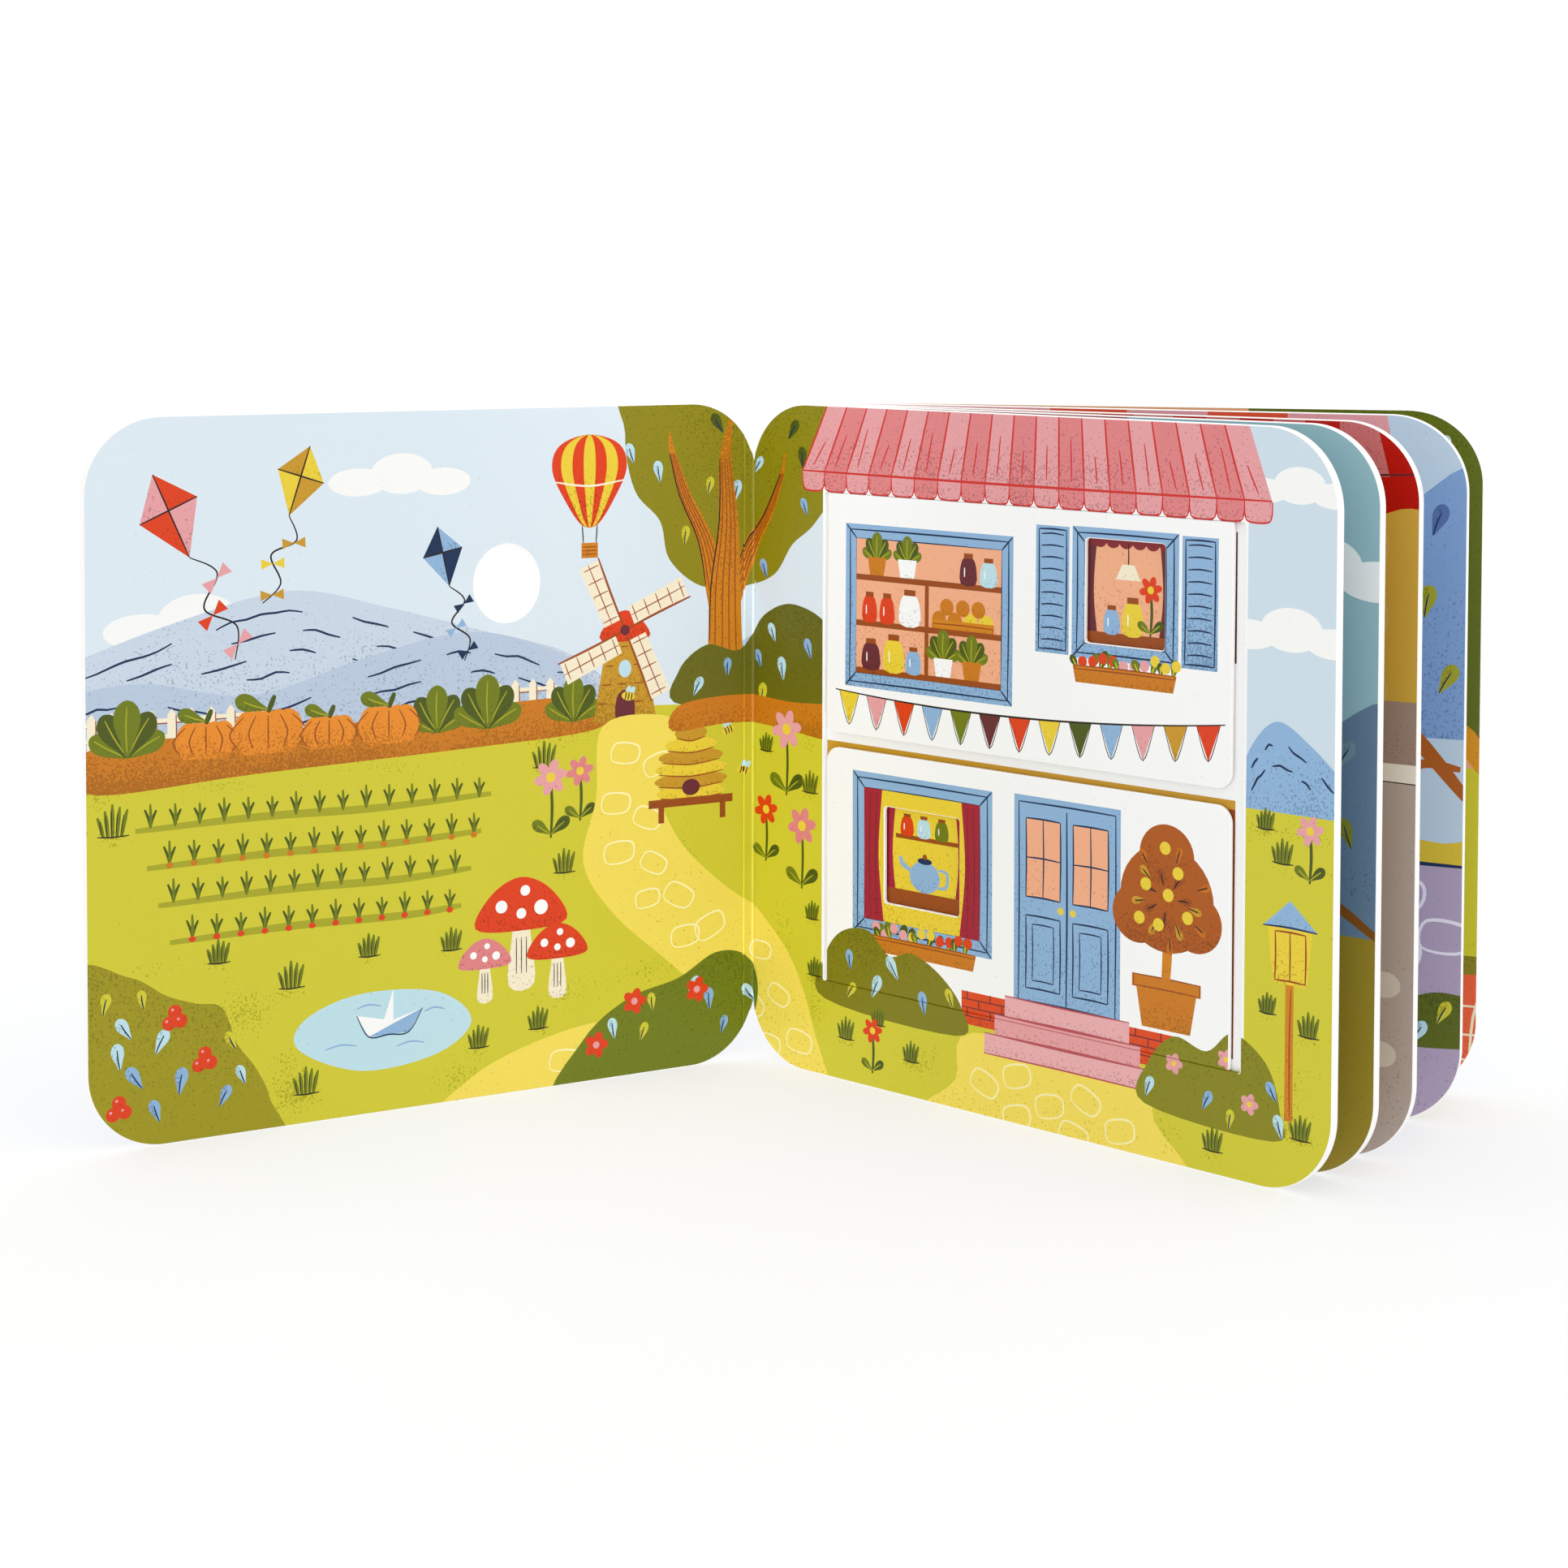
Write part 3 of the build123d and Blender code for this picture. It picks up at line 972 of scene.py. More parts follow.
# %% Hot-air balloon
def balloon(art, x, y, r):
    """A hot-air balloon of striped gores, with its ropes and its basket."""
    for reach, ink in ((1.0, RED), (0.76, YELLOW), (0.46, RED), (0.16, YELLOW)):
        gore = [(0, 1.05), (reach * 0.8, 0.8), (reach, 0.2), (reach * 0.62, -0.6),
                (0.2 * reach, -1.15)]
        gore += [(-px, py) for px, py in gore[::-1][:-1]]
        art.paint(turned(smooth(gore, 5), x, y, 0, r), ink, (0.5, 0.05))
    art.line([(x - 0.93 * r, y - 0.08 * r), (x, y - 0.2 * r), (x + 0.93 * r, y - 0.08 * r)],
             0.6, CREAM)
    for side in (-1, 1):
        art.line([(x + side * 0.2 * r, y - 1.15 * r), (x + side * 0.17 * r, y - 1.6 * r)], 0.4, INK)
    art.paint(box_loop(x - 0.22 * r, y - 1.95 * r, x + 0.22 * r, y - 1.58 * r), BARK, (0.5, 0.1))
    for k in range(3):
        level = y - (1.68 + 0.09 * k) * r
        art.line([(x - 0.2 * r, level), (x + 0.2 * r, level)], 0.35, BROWN)


print("shapes: balloon", shapes_in(balloon, 0, 0, 12))


# %% Windmill
def windmill(art, x, y, size):
    """A tower mill with four lattice sails."""
    tower = [(-0.3, 0), (-0.17, 0.72), (0.17, 0.72), (0.3, 0)]
    art.paint(turned(tower, x, y, 0, size), OCHRE, (0.6, 0.1))
    for level in (0.16, 0.32, 0.48, 0.64):
        half = (0.3 - 0.18 * level) * size
        for k in range(3):
            left = x - half + (k + (level * 3) % 0.4) * half * 0.62
            art.line([(left, y + level * size), (left + 0.35 * half, y + level * size)], 0.4, BROWN)
    cap = smooth([(-0.22, 0.7), (-0.16, 0.86), (0, 0.95), (0.16, 0.86), (0.22, 0.7)], 4)
    art.paint(turned(cap, x, y, 0, size), RED, (0.5, 0.1))
    doorway = smooth([(-0.08, 0), (-0.08, 0.2), (0, 0.27), (0.08, 0.2), (0.08, 0)], 4)
    art.paint(turned(doorway, x, y, 0, size), MAROON)
    art.paint(oval(x, y + 0.45 * size, 0.06 * size, 0.075 * size), BLUE_PALE)
    hub = (x, y + 0.78 * size)
    for turn in (22, 112, 202, 292):
        art.paint(turned([(0.1, 0.01), (0.1, 0.17), (0.66, 0.2), (0.66, 0.01)], *hub, turn, size),
                  CREAM, (0.2, 0.0))
        art.line(turned([(0, 0), (0.35, 0.005), (0.68, 0)], *hub, turn, size), 0.7, BROWN)
        for k in range(5):
            bar = 0.14 + 0.12 * k
            art.line(turned([(bar, 0.02), (bar, 0.17)], *hub, turn, size), 0.35, BROWN)
        art.line(turned([(0.1, 0.095), (0.38, 0.1), (0.66, 0.11)], *hub, turn, size), 0.35, BROWN)
    art.paint(oval(*hub, 0.045 * size, steps=14), MAROON)


print("shapes: windmill", shapes_in(windmill, 0, 0, 30))


# %% Bees, their hive and a paper boat
def bee(art, x, y, size, turn=10):
    """A small bee with two pale wings."""
    for side in (0.42, 0.75):
        wing = turned([(side - 0.5, 0.42)], x, y, turn, size)[0]
        art.paint(oval(*wing, 0.17 * size, 0.3 * size, 14, turn - 15), BLUE_PALE)
    art.paint(oval(x, y, 0.5 * size, 0.3 * size, 18, turn), YELLOW, (0.3, 0.0))
    for k in (-0.2, 0.02, 0.24):
        art.line(turned([(k, -0.27), (k + 0.03, 0), (k, 0.27)], x, y, turn, size), 0.09 * size, INK)


def beehive(art, x, y, size):
    """A straw skep on a low bench."""
    for k, half in enumerate((0.42, 0.45, 0.44, 0.4, 0.32, 0.2)):
        level = y + (0.2 + 0.13 * k) * size
        art.paint(oval(x, level, half * size, 0.085 * size, 30), (YELLOW, OCHRE)[k % 2], (0.6, 0.1))
        art.line([(x - half * size * 0.9, level - 0.05 * size), (x, level - 0.09 * size),
                  (x + half * size * 0.9, level - 0.05 * size)], 0.4, BROWN)
    art.paint(oval(x, y + 0.25 * size, 0.11 * size, 0.09 * size), MAROON)
    bench = box_loop(x - 0.52 * size, y + 0.05 * size, x + 0.52 * size, y + 0.14 * size)
    art.paint(bench, BROWN, (0.5, 0.1))
    for side in (-0.4, 0.36):
        left = x + side * size
        art.paint(box_loop(left, y - 0.12 * size, left + 0.07 * size, y + 0.05 * size), BROWN, (0.5, 0))


def boat(art, x, y, size):
    """A folded paper boat."""
    folds = (([(-0.05, 0.22), (0.12, 0.72), (0.3, 0.22)], PAPER, 0.0),
             ([(0.12, 0.72), (0.3, 0.22), (0.12, 0.22)], BLUE_PALE, 0.0),
             ([(-0.5, 0.36), (-0.3, 0), (0.38, 0), (0.62, 0.36), (0.1, 0.22)], PAPER, 0.0),
             ([(-0.3, 0), (0.38, 0), (0.62, 0.36), (0.1, 0.16)], BLUE, 0.3))
    for fold, ink, shade in folds:
        art.paint(turned(fold, x, y, 0, size), ink, (shade, 0.0))
    hull = [(-0.5, 0.36), (-0.3, 0), (0.04, 0), (0.38, 0), (0.62, 0.36)]
    art.line(turned(hull, x, y, 0, size), 0.4, NAVY)


for motif in (bee, beehive, boat):
    print("shapes:", motif.__name__, shapes_in(motif, 0, 0, 15))

# %% [markdown]
# The inside of the cover and the first page are printed as one picture that runs across the
# gutter, so they are painted as one here too: x is below zero on the cover's half. The
# picture is built from the back forwards, as gouache is. Broad fields of colour come first,
# then the hills with their ink lines, the vegetable garden, the path and the trees.

# %% Sky, hills and ground
spread = Picture(SKY)


def hill(art, ridge, floor, ink, lines, seed):
    """A hill under a smooth ridge, with broken ink lines that follow the ridge."""
    top = smooth(ridge, 8, closed=False)
    art.paint(top + [(top[-1][0], floor), (top[0][0], floor)], ink, (0.6, 0.1))
    chance = random.Random(seed)
    for level in range(1, lines + 1):
        at = chance.randint(1, 5)
        while at < len(top) - 3:
            run = chance.randint(3, 7)
            line = [(x, y - 5.4 * level + chance.uniform(-0.5, 0.5)) for x, y in top[at:at + run]]
            if all(y > floor + 1 for x, y in line):
                art.paint(stroke(line, 0.62, 2), NAVY)
            at += run + chance.randint(1, 3)


print("a blank spread runs from", -PAGE_W - BLEED, "to", PAGE_W + BLEED, "mm")

# %% Clouds and hills
spread.paint(box_loop(160, 90, 204, 199), SKY_DEEP)
for x, y, size in ((-165, 134.5, 30), (-108, 171, 25), (184, 174, 21), (182, 138, 25)):
    cloud(spread, x, y, size)
far_ridge = [(-200, 127), (-172, 136), (-140, 143), (-112, 137), (-84, 129), (-60, 122),
             (-46, 112), (-38, 100)]
near_ridge = [(-200, 119), (-180, 121), (-150, 116), (-118, 124), (-88, 129), (-62, 122),
              (-50, 112), (-44, 100)]
hill(spread, far_ridge, 98, HILL_BACK, 4, 3)
hill(spread, near_ridge, 98, HILL, 4, 8)
hill(spread, [(-4, 121), (8, 126), (20, 122), (30, 118)], 98, HILL, 3, 5)
hill(spread, [(166, 96), (170, 109), (178, 117), (188, 112), (200, 102)], 90, BLUE, 2, 4)
print("sky and hills", len(spread.shapes))

# %% Lawn, with denser spray in places
lawn_edge = [(-204, 98), (-150, 101), (-100, 104), (-40, 105), (0, 103), (30, 102)]
ground = smooth(lawn_edge, 6, closed=False)
spread.paint(ground + [(30, -BLEED), (-204, -BLEED)], LIME)
spread.paint(box_loop(25, -BLEED, 204, 94.5), LIME)
for x, y, across, up, thick in ((-193, 92, 9, 4, 0.5), (-160, 93, 18, 3, 0.4), (-112, 94, 24, 3, 0.35),
                                (-62, 97, 14, 3, 0.45), (-153, 32, 9, 8, 0.5), (-141, 10, 8, 13, 0.6),
                                (-178, 46, 12, 4, 0.4), (-92, 6, 10, 7, 0.5), (-60, 26, 14, 5, 0.45),
                                (-33, 29, 14, 4, 0.5), (-20, 60, 5, 14, 0.35), (12, 40, 5, 12, 0.35),
                                (24, 20, 5, 13, 0.45), (188, 90, 9, 4, 0.6), (173, 90, 6, 3, 0.4),
                                (184, 28, 6, 10, 0.45), (66, 12, 8, 8, 0.4), (144, 6, 8, 8, 0.45),
                                (22, 94, 5, 4, 0.45), (183, 16, 8, 4, 0.4)):
    spread.dust(x, y, across, up, thick)
print("broad fields", len(spread.shapes), "patches of spray", len(spread.dusts))

# %% Vegetable garden on the left page


def picket_fence(art, start, end, foot, height):
    """A cream picket fence with pointed boards and two rails."""
    for level in (0.3, 0.68):
        rail = foot + height * level
        art.paint(box_loop(start, rail, end, rail + 1.1), CREAM, (0.3, 0.0))
        art.line([(start, rail), ((start + end) / 2, rail - 0.2), (end, rail)], 0.35, BROWN)
    x = start + 1.5
    while x < end - 2:
        board = [(0, 0), (2.3, 0), (2.3, height * 0.86), (1.15, height), (0, height * 0.86)]
        art.paint(turned(board, x, foot), CREAM, (0.35, 0.0))
        art.line([(x + 2.3, foot), (x + 2.4, foot + height * 0.5), (x + 2.3, foot + height * 0.85)],
                 0.35, BROWN)
        x += 5.3


picket_fence(spread, -196, -150, 103, 11)
picket_fence(spread, -88, -62, 104, 11)
bed = smooth([(-192, 93), (-150, 95), (-90, 97), (-52, 99), (-47, 104), (-60, 109), (-110, 107),
              (-150, 106), (-188, 106), (-197, 101)], 6)
spread.paint(bed, SOIL, (0.9, 0.2))
for x, size in ((-184, 15), (-98, 13), (-83, 15), (-57, 13)):
    sprout(spread, x, 102, size)
for x, r in ((-163, 6.2), (-146, 7.4), (-129, 5.6), (-112, 6.6)):
    pumpkin(spread, x, 100, r)
print("vegetable bed", len(spread.shapes))

# %% Rows of young plants in the lawn
for row, y in enumerate((84, 74, 64, 54)):
    start = -178 + 3 * row
    furrow = [(start - 4, y - 1.2), (start + 30, y - 0.4), (start + 62, y - 1.0),
              (start + 96 - 6 * row, y)]
    spread.line(furrow, 2.2, LIME_DARK)
    for k in range(15 - row):
        x = start + 6.6 * k + (row % 2) * 2
        tall = 5.6 - 0.4 * (k % 3)
        spread.line([(x - 1.5, y + tall * 0.75), (x - 0.4, y + 1.5), (x, y - 0.6)], 0.8, BUSH_DEEP)
        spread.line([(x + 1.6, y + tall * 0.7), (x + 0.5, y + 1.5), (x, y - 0.6)], 0.8, BUSH_DEEP)
        spread.line([(x, y + tall), (x + 0.1, y + 2), (x, y - 0.8)], 0.8, BUSH)
        if row == 1 or row == 3:
            spread.paint(oval(x, y - 0.9, 1.0, 0.8, 12), (SOIL, RED)[row == 3], (0.3, 0))
print("kitchen garden", len(spread.shapes))

# %% Sky motifs and the windmill
kite(spread, -172, 164, 20, 24, (RED, PINK))
kite(spread, -137, 172, 16, -18, (YELLOW, OCHRE))
kite(spread, -96, 150, 14, 12, (BLUE, NAVY))
balloon(spread, -52, 170, 11.5)
windmill(spread, -41, 101, 33)
print("sky and windmill", len(spread.shapes))

# %% Lower left: pond, toadstools, flowers
shore = [(-138, 20), (-120, 12), (-98, 14), (-88, 22), (-98, 31), (-120, 33), (-136, 28)]
spread.paint(smooth(shore, 6), BLUE_PALE, (0.0, 0.2))
for x, y, run in ((-126, 19, 9), (-106, 17.5, 8), (-99, 26, 6), (-118, 29, 7)):
    spread.line([(x - run / 2, y), (x, y + 0.8), (x + run / 2, y)], 0.5, BLUE)
boat(spread, -113, 21, 17)
for x, y, height, ink in ((-73, 30, 30, RED), (-62, 26, 20, RED), (-84, 27, 17, PINK_DEEP)):
    toadstool(spread, x, y, height, ink)
for x, y, size in ((-188, 82, 8), (-66, 90, 7), (-140, 37, 7), (-94, 42, 6), (-118, 43, 6),
                   (-136, 8, 7), (-68, 17, 6), (-160, 46, 6), (-60, 60, 6.5), (-86, 14, 6)):
    tuft(spread, x, y, size)
for x, y, height, ink in ((-64, 70, 17, PINK), (-55, 74, 14, PINK_DEEP)):
    flower(spread, x, y, height, ink)
print("lower left", len(spread.shapes))

# %% Berry bush in the left corner
BERRY_BUSH = "A09730"
berries = ((-164, 21), (-172, 33), (-187, 11))
bush(spread, [(-200, 46), (-184, 45), (-174, 39), (-166, 36), (-159, 34), (-155, 24), (-150, 17),
              (-146, 8), (-145, -6), (-200, -6)], BERRY_BUSH, 11, 5, clear=berries)
for x, y in berries:
    for dx, dy in ((-1.4, -1.4), (1.7, -1.0), (0.2, 1.5)):
        spread.paint(oval(x + dx, y + dy, 1.9, steps=16), RED, (0.4, 0.0))
        spread.paint(oval(x + dx - 0.6, y + dy + 0.6, 0.4, steps=8), PINK)
print("left page", len(spread.shapes))

# %% Paved path over the gutter
path = smooth([(-48, 100), (-30, 102), (-22, 96), (-30, 82), (-24, 66), (-10, 52), (4, 42), (16, 30),
               (24, 12), (28, -6), (-6, -6), (-10, 14), (-26, 30), (-44, 46), (-54, 62), (-50, 80)], 6)
spread.paint(path, PATH, (0.3, 0.02))
branch = [(-96, -6), (-88, 6), (-66, 14), (-44, 16), (-30, 6), (-28, -6)]
spread.paint(smooth(branch, 6), PATH, (0.3, 0.0))
chance = random.Random(11)


def outline_stone(art, x, y, turn, size, width=0.55, ink=PATH_LINE):
    """A paving stone, drawn as one pale line round its edge."""
    slab = [(-1, -0.6), (0.9, -0.7), (1.1, 0.5), (-0.8, 0.7)]
    ring = smooth(turned(slab, x, y, turn, size), 5)
    art.paint(stroke(ring + ring[:1], width, 1), ink)


for x, y in ((-41, 92), (-31, 88), (-44, 78), (-34, 73), (-43, 64), (-32, 60), (-24, 50),
             (-34, 50), (-14, 40), (-22, 38), (-8, 28), (3, 32), (10, 20), (0, 16), (18, 8),
             (6, 5), (-60, 7), (-48, 8)):
    outline_stone(spread, x, y, chance.uniform(-30, 30), chance.uniform(3.2, 4.2))
beehive(spread, -20, 74, 26)
for x, y, turn in ((-40, 108, -12), (-8, 96, 20), (-3, 84, -15)):
    bee(spread, x, y, 4.2, turn)
print("path, hive and bees", len(spread.shapes))


# %% Trees and bushes over the gutter
def tree(art, x, foot, crown, limbs, seed):
    """A crown of leaves, and a trunk of several limbs that rise into it from one foot."""
    bush(art, crown, OLIVE, 14, seed, (LIME, BLUE_PALE, BUSH_DEEP, BLUE))
    for limb_points in limbs:
        spots = [(x + px, foot + py, wide) for px, py, wide in limb_points]
        art.paint(limb(spots, 6), BARK, (0.2, 0.75))
        for share in (-0.3, -0.08, 0.12, 0.32):
            art.line([(px + share * wide, py) for px, py, wide in spots[:-1]], 0.4, BROWN)
        art.line([(px - 0.46 * wide, py) for px, py, wide in spots[1:-1]], 0.45, INK)


crown = [(-37, 198), (-41, 182), (-38, 166), (-30, 157), (-27, 146), (-17, 138), (-4, 137),
         (8, 141), (15, 150), (24, 157), (34, 172), (34, 198)]
right_limb = ((1.5, 20, 4.0), (5, 32, 5.0), (9, 42, 4.4), (15, 51, 3.2), (20, 62, 1.6),
              (21, 68, 0.5))
left_limb = ((-1.5, 16, 4.5), (-3.5, 30, 6.0), (-6.5, 43, 5.0), (-13, 56, 3.8), (-17, 68, 2.0),
             (-18, 74, 0.6))
trunk = ((0, 0, 13), (0, 14, 11), (0, 30, 10), (1, 48, 6.5), (0, 66, 4.0), (2, 78, 1.0))
tree(spread, -9, 108, crown, (right_limb, left_limb, trunk), 21)
DARK_BUSH = "6F6E20"
bush(spread, [(-22, 104), (-24, 114), (-15, 121), (-4, 119), (4, 129), (16, 133), (30, 126),
              (31, 104)], DARK_BUSH, 8, 33)
tree_bed = [(-26, 97), (-24, 104), (-8, 106), (14, 105), (32, 105), (32, 96), (12, 97), (-8, 98)]
spread.paint(smooth(tree_bed, 5), SOIL, (0.9, 0.15))
for x, y, height, ink in ((13, 78, 19, PINK), (5, 58, 15, RED), (19, 52, 18, PINK_DEEP)):
    flower(spread, x, y, height, ink)
for x, y, size in ((22, 80, 6), (5, 90, 5), (23, 44, 5)):
    tuft(spread, x, y, size)
bush(spread, [(-62, -6), (-54, 12), (-40, 22), (-24, 26), (-12, 32), (-2, 30), (2, 20), (-2, 6),
              (-8, -6)], BUSH, 7, 14)
for x, y in ((-50, 10), (-38, 21), (-18, 22)):
    blossom(spread, x, y, 1.9, RED, PINK)
print("gutter", len(spread.shapes))

# %% [markdown]
# The right page shows a little shop front. The flaps are die-cut after printing, so leaf and
# flaps share one picture here as well, and its lines run across the cuts. The pocket's
# floor, seen through the windows and the slots, has small rooms of its own.


# %% Windows and shutters
def ruled(art, x0, y0, x1, y1, ink=NAVY, width=0.5):
    """Four ink lines round a rectangle, each bent a little in the middle, as by hand."""
    corners = box_loop(x0, y0, x1, y1)
    for a, b in zip(corners, corners[1:] + corners[:1]):
        middle = ((a[0] + b[0]) / 2 + 0.15, (a[1] + b[1]) / 2 + 0.15)
        art.line([a, middle, b], width, ink)


def window_frame(art, x0, y0, x1, y1, bar=4.0):
    """A painted window frame with mitred corners."""
    art.paint(box_loop(x0, y0, x1, y1), BLUE, (0.5, 0.1))
    ruled(art, x0 + 0.4 * bar, y0 + 0.35 * bar, x1 - 0.4 * bar, y1 - 0.4 * bar)
    ruled(art, x0 + bar, y0 + bar, x1 - bar, y1 - bar, NAVY, 0.4)
    for cx, cy, sx, sy in ((x0, y0, 1, 1), (x1, y0, -1, 1), (x1, y1, -1, -1), (x0, y1, 1, -1)):
        art.line([(cx + 0.3 * sx, cy + 0.3 * sy), (cx + sx * bar, cy + sy * bar)], 0.5, NAVY)


def shutter(art, x0, y0, x1, y1):
    """A louvred shutter."""
    art.paint(box_loop(x0, y0, x1, y1), BLUE, (0.6, 0.1))
    ruled(art, x0 + 1.0, y0 + 1.0, x1 - 1.0, y1 - 1.0)
    level = y0 + 3.4
    while level < y1 - 2:
        art.line([(x0 + 1.8, level), ((x0 + x1) / 2, level + 0.3), (x1 - 1.8, level)], 0.45, NAVY)
        level += 3.1


print("shapes: window frame", shapes_in(window_frame, 0, 0, 40, 40),
      "shutter", shapes_in(shutter, 0, 0, 11, 33))


# %% Flower boxes, curtains, jars and bunting
def flower_box(art, x0, x1, y, seed):
    """A window box in bloom."""
    chance = random.Random(seed)
    x = x0 + 2
    while x < x1 - 1:
        green, bloom = (BUSH, BUSH_DEEP)[int(x) % 2], (RED, PINK, YELLOW)[int(x) % 3]
        leaf(art, x, y + 3.4, chance.uniform(4, 6), chance.uniform(50, 130), green, LIME)
        art.paint(oval(x + 1.2, y + 6.2 + chance.uniform(-1, 1.5), 1.5, steps=12), bloom, (0.3, 0))
        x += 3.3
    art.paint([(x0, y + 4.4), (x1, y + 4.4), (x1 - 1, y), (x0 + 1, y)], SOIL, (0.55, 0.1))
    ruled(art, x0 + 0.6, y + 3.5, x1 - 0.6, y + 4.4, BROWN, 0.4)


def curtain(art, hung, free, low, high, ink):
    """A curtain: straight where it hangs, with a free edge that swings in and out."""
    toward = 1 if free > hung else -1
    edge = smooth([(free, high), (free - 1.3 * toward, (low + high) / 2), (free + 0.6 * toward, low)],
                  5, closed=False)
    art.paint([(hung, high), *edge, (hung, low)], ink, (0.45, 0.1))
    for share in (0.35, 0.7):
        x = hung + (free - hung) * share
        art.line([(x, high - 1), (x - 0.5 * toward, (low + high) / 2), (x, low + 1)], 0.4, MAROON)


def jar(art, x, y, width, height, ink):
    """A stoppered jar with a glint down one side."""
    side = [(x, y), (x + width, y), (x + width, y + height * 0.7), (x + width * 0.7, y + height),
            (x + width * 0.3, y + height), (x, y + height * 0.7)]
    art.paint(smooth(side, 3), ink, (0.4, 0.05))
    art.paint(box_loop(x + width * 0.2, y + height * 0.93, x + width * 0.8, y + height * 1.12), BROWN)
    art.line([(x + width * 0.25, y + height * 0.25), (x + width * 0.25, y + height * 0.6)], 0.4, PAPER)


def bunting(art, start, end, sag, inks):
    """A string of small flags."""
    count = len(inks)
    spots = []
    for k in range(count + 1):
        t = k / count
        spots.append((start[0] + (end[0] - start[0]) * t,
                      start[1] + (end[1] - start[1]) * t - sag * 4 * t * (1 - t)))
    for (ax, ay), (bx, by), ink in zip(spots, spots[1:], inks):
        left, right = ax + (bx - ax) * 0.14, ax + (bx - ax) * 0.86
        low = (ay + by) / 2 - 9.2
        art.paint([(left, ay), (right, by), ((left + right) / 2, low)], ink, (0.5, 0.05))
        art.line([(left, ay), ((left + right) / 2, low), (right, by)], 0.3, INK)
    art.line(spots, 0.55, INK)


print("shapes: jar", shapes_in(jar, 0, 0, 5, 7, BLUE),
      "flower box", shapes_in(flower_box, 0, 40, 0, 8))

# %% Awning and wall
AWNING_TOP, AWNING_FOOT, STRIPES = (28.7, 168.8), (18.9, 176.2), 19
AWNING_LINE = "CF3F3B"
spread.paint(box_loop(26.7, 24, 169.2, 167.3), PAPER)


def along_edge(edge, t):
    """A share of the way along an edge of the awning."""
    return edge[0] + (edge[1] - edge[0]) * t


for k in range(STRIPES):
    low = [along_edge(AWNING_FOOT, (k + j) / STRIPES) for j in (0, 1)]
    high = [along_edge(AWNING_TOP, (k + j) / STRIPES) for j in (0, 1)]
    ink = (PINK, PINK_DEEP)[k % 2]
    spread.paint([(low[0], 171), (low[1], 171), (high[1], 191), (high[0], 191)], ink, (0.5, 0.12))
    tab = [(low[0], 171.2), (low[1], 171.2), (low[1] - 0.2, 167.6), (low[1] - 1.6, 166),
           (low[0] + 1.6, 166), (low[0] + 0.2, 167.6)]
    spread.paint(tab, ink, (0.55, 0.3))
    spread.line([tab[0], tab[5], tab[4], tab[3], tab[2], tab[1]], 0.5, AWNING_LINE)
    spread.line([(low[0], 171.4), ((low[0] + high[0]) / 2, 181), (high[0], 191)], 0.6, AWNING_LINE)
    middle = [(a + b) / 2 for a, b in zip(low, high)]
    spread.line([(sum(low) / 2, 173), (sum(middle) / 2, 180 + k % 3 * 2)], 0.45, AWNING_LINE)
spread.line([(19.2, 171.4), (98, 171.1), (176, 171.4)], 0.7, AWNING_LINE)
print("awning", len(spread.shapes))

# %% Upper flap: wall shelves
window_frame(spread, 35.5, 112, 95, 157.5, 4.0)
spread.paint(box_loop(39.5, 116, 91, 153.5), PEACH, (0.4, 0.05))
for level in (116, 129.2, 142.0):
    spread.paint(box_loop(39.5, level, 91, level + 1.6), BROWN, (0.4, 0.0))
spread.paint(box_loop(64.4, 117.6, 65.8, 142), BROWN, (0.4, 0.0))
for x, level, width, height, ink in ((42, 117.6, 6, 7.4, MAROON), (50, 117.6, 6.6, 9, YELLOW),
                                     (58, 117.6, 4.8, 6.4, BLUE), (42, 130.8, 4.8, 7.2, RED),
                                     (48.4, 130.8, 4.8, 7.2, RED), (55.6, 130.8, 6.8, 8.6, PAPER),
                                     (84, 143.6, 5.2, 6.6, BLUE_PALE), (77, 143.6, 5.2, 7.4, MAROON)):
    jar(spread, x, level, width, height, ink)
for x, level, size in ((71, 117.6, 9), (81, 117.6, 8.4), (47, 143.6, 8), (58, 143.6, 7.6)):
    sprout(spread, x, level + 4, size)
    spread.paint([(x - 3.4, level + 5), (x + 3.4, level + 5), (x + 2.5, level), (x - 2.5, level)],
                 (SOIL, PAPER)[int(size) % 2], (0.4, 0.1))
for x in (69.5, 75, 80.5, 86):
    spread.paint(oval(x, 133.2, 2.5, 2.4, 20), (YELLOW, SOIL)[int(x) % 2], (0.5, 0.1))
for x in (72.2, 77.8, 83.2):
    spread.paint(oval(x, 136.8, 2.4, 2.3, 20), SOIL, (0.5, 0.1))
spread.paint(box_loop(67, 130.8, 88.6, 133.2), BARK, (0.4, 0.0))
spread.line([(67, 132), (78, 132.2), (88.6, 132)], 0.4, BROWN)
print("shelves", len(spread.shapes))

# %% Upper flap: hatch with shutters, and bunting
window_frame(spread, 114.6, 127.2, 148.4, 161.6, 4.0)
shutter(spread, 102.6, 127.6, 113.6, 161.2)
shutter(spread, 149.4, 127.6, 160.4, 161.2)
flower_box(spread, 115, 148, 120.8, 8)
bunting(spread, (32, 110.6), (163, 114.5), 3.2,
        (YELLOW, PINK, RED, BLUE, BUSH, MAROON, RED, YELLOW, BUSH_DEEP, BLUE, PINK, OCHRE, RED))
print("upper flap", len(spread.shapes))

